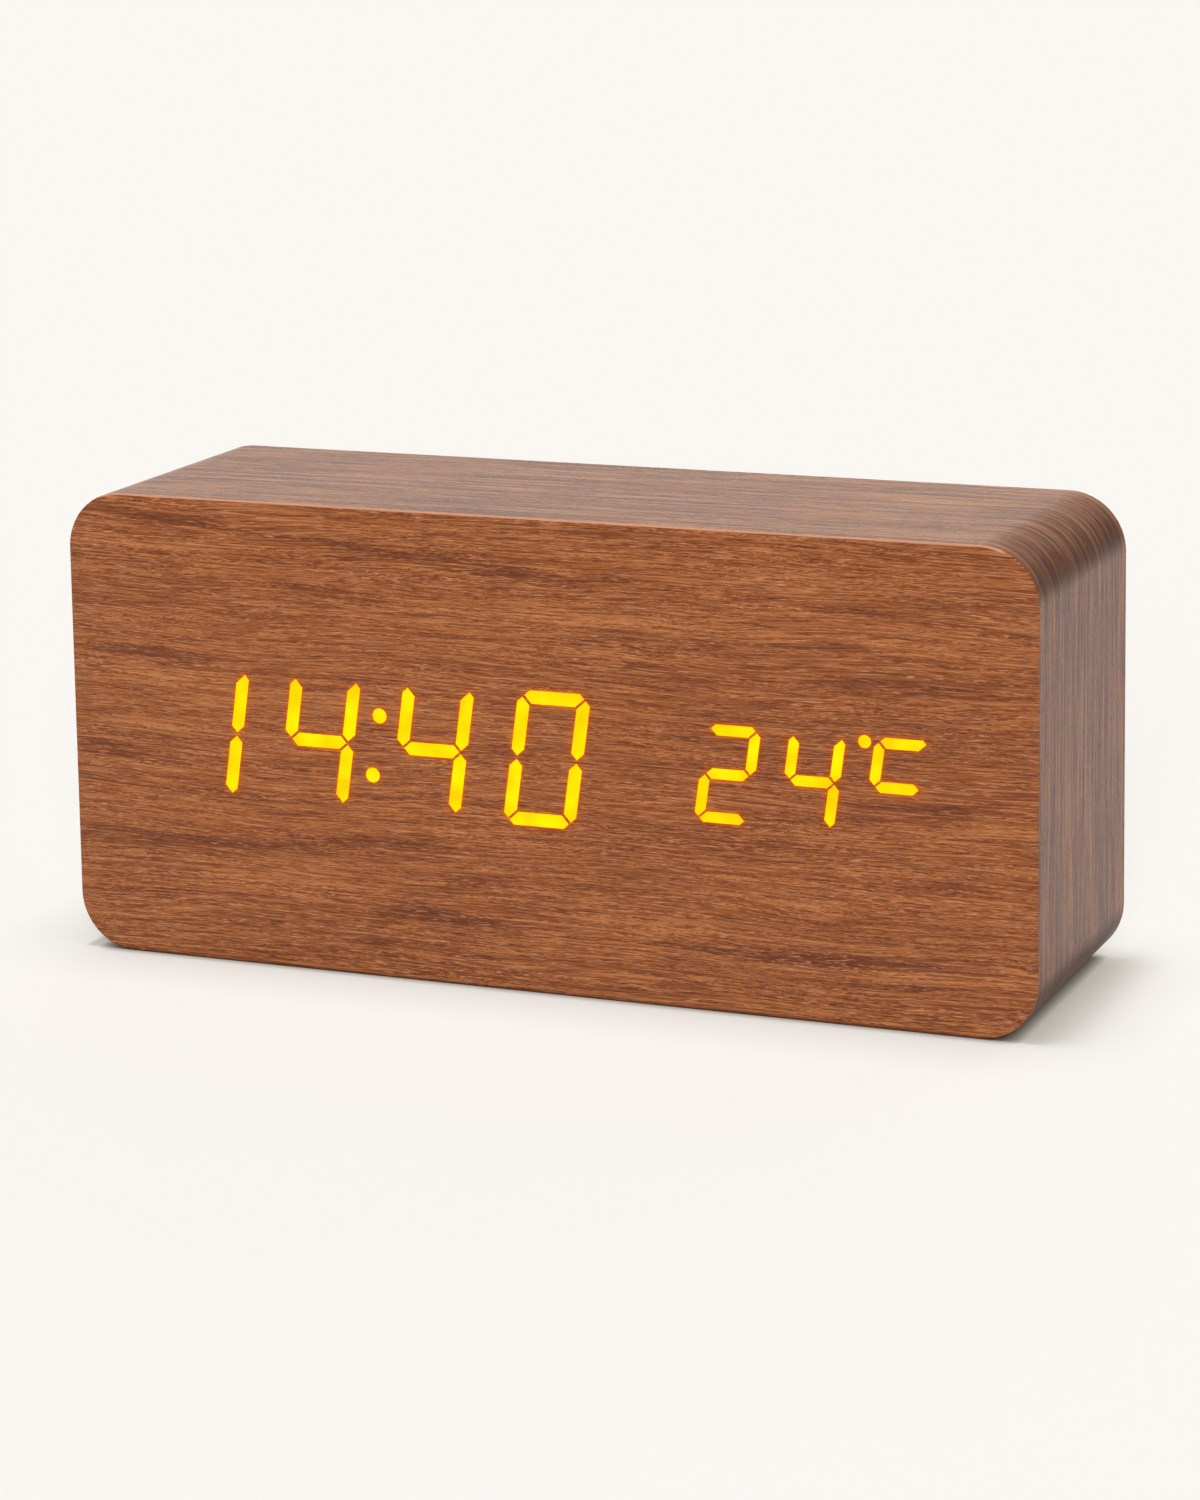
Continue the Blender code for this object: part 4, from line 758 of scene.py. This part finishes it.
def moulded(name, color, lighter, rough, cell, depth):
    """A moulded or cast surface: fine grain in relief, with slow changes of tone and gloss."""
    made, tree, shader = material(name)
    place = object_place(tree)
    grain = noise(tree, place, 1 / cell)
    slow = noise(tree, place, MOULD_SLOW_SCALE)
    mixed = math_node(tree, "MULTIPLY", math_node(tree, "ADD", grain, slow), 0.5)
    glossy, dull = rough - MOULD_GLOSS_SPREAD, rough + MOULD_GLOSS_SPREAD
    dress(
        tree,
        shader,
        base_color=blend_color(tree, remap(tree, mixed, *TONE_RANGE), color, lighter),
        roughness=remap(tree, mixed, *TONE_RANGE, dull, glossy),
        normal=relief(tree, MOULD_RELIEF, depth, grain),
    )
    return made


# Plated metal. Scales are in cells to a metre

DRAWN_SCALES = (300.0, 4000.0)
DRAWN_ROUGHNESS = 0.12
DRAWN_RELIEF = (0.4, 0.00001)
STAIN_SCALE = 220.0
STAIN_ROUGHNESS = 0.05


def plated(name, color, darker, rough, axis):
    """Plated metal with drawn lines along one axis and faint stains."""
    made, tree, shader = material(name, metallic=1.0)
    place = object_place(tree)
    along, across = DRAWN_SCALES
    scales = [along if number == axis else across for number in range(3)]
    drawn = add(tree, "Mapping", {"Vector": place, "Scale": scales}).outputs[0]
    lines = noise(tree, drawn, 1.0)
    stains = noise(tree, place, STAIN_SCALE, 3.0)
    rougher = remap(tree, lines, *MARK_RANGE, 0.0, DRAWN_ROUGHNESS)
    stained = remap(tree, stains, *MARK_RANGE, rough + STAIN_ROUGHNESS, rough - STAIN_ROUGHNESS)
    dress(
        tree,
        shader,
        base_color=blend_color(tree, remap(tree, stains, *TONE_RANGE), darker, color),
        roughness=math_node(tree, "ADD", rougher, stained),
        normal=relief(tree, *DRAWN_RELIEF, lines),
    )
    return made


# Light guide

LENS_BODY = (0.05, 0.03, 0.0)
LENS_AMBERS = ((0.97, 0.65, 0.002), (1.0, 0.91, 0.003))
LENS_SCALE = 230.0


def lit_lens():
    """The light guide: amber light, yellower where a lamp is close behind."""
    made, tree, shader = material(
        "lit_lens",
        roughness=0.35,
        specular_ior_level=0.0,
        base_color=LENS_BODY,
        emission_strength=1.0,
    )
    uneven = noise(tree, object_place(tree), LENS_SCALE, 1.0)
    amber = blend_color(tree, remap(tree, uneven, *MARK_RANGE), *LENS_AMBERS)
    dress(tree, shader, emission_color=amber)
    return made


# Printed boards

TRACKS = {
    "Scale": 1.0,
    "Mortar Size": 0.00016,
    "Mortar Smooth": 0.4,
    "Brick Width": 0.0061,
    "Row Height": 0.0017,
    "Bias": 0.0,
}
TRACK_COLOR = (0.030, 0.190, 0.075)
TRACK_RELIEF = (0.5, 0.00004)
LACQUER_COLORS = ((0.008, 0.070, 0.028), (0.014, 0.105, 0.040))
LACQUER_SCALE = 90.0
VIAS = {"Scale": 240.0, "Randomness": 0.8}
VIA_EDGE = (0.10, 0.13)
TIN = (0.560, 0.500, 0.360)


def solder_mask():
    """Green lacquer over copper tracks that show as paler lines, with tinned pads."""
    made, tree, shader = material("solder_mask", roughness=0.32)
    place = object_place(tree)
    tracks = add(tree, "TexBrick", {"Vector": face_place(tree)} | TRACKS).outputs["Fac"]
    vias = add(tree, "TexVoronoi", {"Vector": place} | VIAS).outputs[0]
    color = blend_color(tree, noise(tree, place, LACQUER_SCALE), *LACQUER_COLORS)
    color = blend_color(tree, tracks, color, TRACK_COLOR)
    color = blend_color(tree, remap(tree, vias, *VIA_EDGE, 1.0, 0.0), color, TIN)
    dress(tree, shader, base_color=color, normal=relief(tree, *TRACK_RELIEF, tracks))
    return made


# Fibreboard

FIBRE_TONES = (
    (0.0, (0.160, 0.090, 0.045)),
    (0.5, (0.300, 0.190, 0.105)),
    (1.0, (0.440, 0.310, 0.190)),
)
FLUFF_SCALE = 1400.0
FLUFF_TWIST = 1.5
FLUFF_SHARE = 0.6
FLUFF_RELIEF = (0.7, 0.00008)
CLUMP_SCALE = 220.0
CLUMP_SHARE = 0.4


def fibreboard():
    """Pressed wood fibre: tan, with short pale and dark fibres lying every way."""
    made, tree, shader = material("pressed_fibre", roughness=0.85)
    place = object_place(tree)
    fluff = noise(tree, place, FLUFF_SCALE, 3.0, FLUFF_TWIST)
    clumps = noise(tree, place, CLUMP_SCALE)
    fine = remap(tree, fluff, *MARK_RANGE, 0.0, FLUFF_SHARE)
    coarse = remap(tree, clumps, *MARK_RANGE, 0.0, CLUMP_SHARE)
    color = ramp(tree, math_node(tree, "ADD", fine, coarse), FIBRE_TONES)
    dress(tree, shader, base_color=color, normal=relief(tree, *FLUFF_RELIEF, fluff))
    return made


# Ribbon cable

RIBBON_PITCH = 0.00127
RIBBON_COLOR = (0.42, 0.42, 0.43)
RIBBON_LINE = (0.20, 0.20, 0.21)
RIBBON_RELIEF = 0.8
SPECKLE_SCALE = 900.0
SPECKLE_SHARE = 0.25


def ribbon():
    """A flat cable: parallel cores pressed side by side."""
    made, tree, shader = material("ribbon_grey", roughness=0.5)
    place = object_place(tree)
    wave = math_node(tree, "PINGPONG", axes(tree, place)[0], RIBBON_PITCH / 2)
    crest = remap(tree, wave, 0.0, RIBBON_PITCH / 2)
    color = blend_color(tree, remap(tree, crest, 0.0, 0.5), RIBBON_LINE, RIBBON_COLOR)
    speckle = remap(tree, noise(tree, place, SPECKLE_SCALE), *MARK_RANGE, 0.0, SPECKLE_SHARE)
    color = blend_color(tree, speckle, color, RIBBON_LINE)
    bumps = relief(tree, RIBBON_RELIEF, RIBBON_PITCH / 4, crest)
    dress(tree, shader, base_color=color, normal=bumps)
    return made


# Battery cells. Shares run from the flat end to the end with the nub

TURNED_CELL = "battery_2"
SLEEVE_FROM = 0.020
METAL_FROM = 0.80
CAP_FROM = 0.965
BARE_METAL = (0.70, 0.68, 0.64)
SLEEVE_BLUE = (0.010, 0.030, 0.080)
SLEEVE_METAL = (0.480, 0.480, 0.490)
CELL_ROUGHNESS = (0.26, 0.36)
SCUFF_SCALE = 900.0
SCUFF_RANGE = (0.60, 0.80)
SCUFF_SHARE = 0.08
SCUFF_COLOR = (0.6, 0.6, 0.6)


def cell_wrap(node):
    """A shrink sleeve in two plain colours, with bare metal at both ends of the cell."""
    low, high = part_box(node)
    made, tree, shader = material(node + "_sleeve")
    place = object_place(tree)
    ends = (high.x, low.x) if node == TURNED_CELL else (low.x, high.x)
    share = remap(tree, axes(tree, place)[0], *ends)
    stops = ((0.0, BARE_METAL), (SLEEVE_FROM, SLEEVE_BLUE))
    stops += ((METAL_FROM, SLEEVE_METAL), (CAP_FROM, BARE_METAL))
    color = ramp(tree, share, stops, "CONSTANT")
    scuffs = noise(tree, place, SCUFF_SCALE, 4.0)
    worn = remap(tree, scuffs, *SCUFF_RANGE, 0.0, SCUFF_SHARE)
    flat_end = math_node(tree, "LESS_THAN", share, SLEEVE_FROM)
    nub_end = math_node(tree, "GREATER_THAN", share, METAL_FROM)
    dress(
        tree,
        shader,
        base_color=blend_color(tree, worn, color, SCUFF_COLOR),
        metallic=math_node(tree, "ADD", flat_end, nub_end),
        roughness=remap(tree, scuffs, *MARK_RANGE, *CELL_ROUGHNESS),
    )
    return made


# Which solid has which surface


def give(surface, *nodes):
    for node in nodes:
        slots = NODES[node].data.materials
        slots.clear()
        slots.append(surface)


def numbered(name, count):
    return [f"{name}_{number + 1}" for number in range(count)]


# Moulded surfaces: colour, lighter colour, roughness, size of the grain, depth of its relief
BLACK_PLASTIC = moulded(
    "moulded_black", (0.012, 0.012, 0.013), (0.024, 0.024, 0.025), 0.50, 0.00018, 0.00003
)
BUTTON_PLASTIC = moulded(
    "button_black", (0.020, 0.020, 0.021), (0.034, 0.034, 0.035), 0.36, 0.00012, 0.00001
)
CHIP_RESIN = moulded(
    "chip_resin", (0.010, 0.010, 0.010), (0.022, 0.022, 0.022), 0.55, 0.00010, 0.00001
)
RED_SLEEVE = moulded(
    "red_insulation", (0.42, 0.012, 0.010), (0.52, 0.022, 0.016), 0.42, 0.0006, 0.00001
)
BLACK_SLEEVE = moulded(
    "black_insulation", (0.012, 0.012, 0.012), (0.022, 0.022, 0.022), 0.42, 0.0006, 0.00001
)
# Plated surfaces: colour, darker colour, roughness, axis of the drawn lines
STEEL = plated("nickel_plate", (0.62, 0.60, 0.56), (0.42, 0.40, 0.37), 0.26, 0)
DARK_STEEL = plated("black_zinc", (0.085, 0.085, 0.090), (0.045, 0.045, 0.050), 0.38, 1)

give(lit_lens(), "segment_lens")
give(fibreboard(), "case_frame", "front_board", "back_board")
give(BLACK_PLASTIC, "light_mask", "control_panel", "battery_tray", "battery_door")
give(BLACK_PLASTIC, "dc_jack", "coin_cell_holder")
give(BUTTON_PLASTIC, "set_button", "up_button", "down_button", "slide_switch_knob")
give(solder_mask(), "display_board", "key_board")
give(CHIP_RESIN, "driver_chip", "buzzer", "thermistor")
give(CHIP_RESIN, "set_plunger", "up_plunger", "down_plunger")
give(STEEL, "crystal", "coin_cell", "microphone")
give(STEEL, "set_switch", "up_switch", "down_switch", "slide_switch")
give(STEEL, *numbered("battery_spring", 3), *numbered("battery_contact", 3))
give(DARK_STEEL, *numbered("board_screw", 4), *numbered("back_screw", 4))
give(DARK_STEEL, *numbered("panel_screw", 2), *numbered("tray_screw", 2))
give(DARK_STEEL, *numbered("key_board_screw", 2))
give(ribbon(), "ribbon_cable")
give(RED_SLEEVE, "red_wire")
give(BLACK_SLEEVE, "black_wire")
for cell in numbered("battery", 3):
    give(cell_wrap(cell), cell)


# Studio


def set_camera():
    az, el = CAMERA_AZIMUTH, CAMERA_ELEVATION
    back = Vector((math.sin(az) * math.cos(el), -math.cos(az) * math.cos(el), math.sin(el)))
    right = Vector((0, 0, 1)).cross(back).normalized()
    up = back.cross(right)
    c, s = math.cos(CAMERA_ROLL), math.sin(CAMERA_ROLL)
    turned_right = c * right + s * up
    turned_up = -s * right + c * up
    lens = bpy.data.cameras.new("camera")
    lens.sensor_width = CAMERA_SENSOR
    lens.lens = CAMERA_LENS
    lens.shift_y = CAMERA_SHIFT
    lens.clip_start, lens.clip_end = CAMERA_CLIP
    made = bpy.data.objects.new("camera", lens)
    bpy.context.scene.collection.objects.link(made)
    turn = Matrix((turned_right, turned_up, back)).transposed().to_4x4()
    place = Vector(CAMERA_TARGET) + back * CAMERA_DISTANCE
    made.matrix_world = Matrix.Translation(place) @ turn
    bpy.context.scene.camera = made


def seen_ray(tree, mirrored):
    """1 for camera and transmission rays, and a share of that for glossy ones."""
    path = add(tree, "LightPath").outputs
    glossy = math_node(tree, "MULTIPLY", path["Is Glossy Ray"], mirrored)
    total = math_node(tree, "ADD", path["Is Camera Ray"], glossy, True)
    return math_node(tree, "ADD", total, path["Is Transmission Ray"], True)


def set_world():
    """White for the camera; reflections see it fade upward and to the right; dim as a light."""
    world = bpy.data.worlds.new("studio")
    bpy.context.scene.world = world
    world.use_nodes = True
    tree = world.node_tree
    shader = tree.nodes["Background"]
    across, ahead, up = axes(tree, add(tree, "TexCoord").outputs["Generated"])
    high = remap(tree, up, *SKY_FADE, 1.0, SKY_MIRRORED, smooth=True)
    behind = remap(tree, ahead, *FRONT_FADE, FRONT_MIRRORED, 1.0, smooth=True)
    aside = remap(tree, across, *RIGHT_FADE, 1.0, RIGHT_MIRRORED, smooth=True)
    mirrored = math_node(tree, "MULTIPLY", math_node(tree, "MULTIPLY", high, behind), aside)
    strength = math_node(tree, "MAXIMUM", seen_ray(tree, mirrored), SKY_LIGHT)
    dress(tree, shader, color=BACKGROUND, strength=strength)


def set_floor():
    bpy.ops.mesh.primitive_plane_add(size=FLOOR_SIZE)
    floor = bpy.context.object
    floor.name = "floor"
    made, tree, shader = material(
        "floor_paper",
        roughness=FLOOR_ROUGHNESS,
        specular_ior_level=0.0,
        emission_color=FLOOR_LIFT,
    )
    # Painted contact shadow: ambient occlusion darkens the floor's colour and its lift near the
    # block
    clear = 1.0
    for reach, power in zip(CONTACT_REACHES, CONTACT_POWERS):
        sockets = {"Distance": reach}
        near = add(tree, "AmbientOcclusion", sockets, samples=CONTACT_SAMPLES).outputs["AO"]
        clear = math_node(tree, "MULTIPLY", math_node(tree, "POWER", near, power), clear)
    tint = [FLOOR_ALBEDO * channel / BACKGROUND[0] for channel in BACKGROUND]
    color = blend_color(tree, clear, CONTACT_SHADOW_COLOR, tint)
    lift = math_node(tree, "MULTIPLY", seen_ray(tree, FLOOR_MIRRORED), clear)
    dress(tree, shader, base_color=color, emission_strength=lift)
    floor.data.materials.append(made)


def sun(name, direction, strength, width, color):
    """A soft sun that shines from the given direction, and doesn't show in gloss."""
    light = bpy.data.lights.new(name, "SUN")
    light.energy = strength
    light.color = color
    light.angle = math.radians(width)
    made = bpy.data.objects.new(name, light)
    made.rotation_mode = "QUATERNION"
    made.rotation_quaternion = Vector(direction).to_track_quat("Z", "Y")
    made.visible_glossy = False
    bpy.context.scene.collection.objects.link(made)


set_camera()
set_world()
set_floor()
for lamp in SUNS:
    sun(*lamp)
bpy.context.scene.view_settings.view_transform = "Standard"
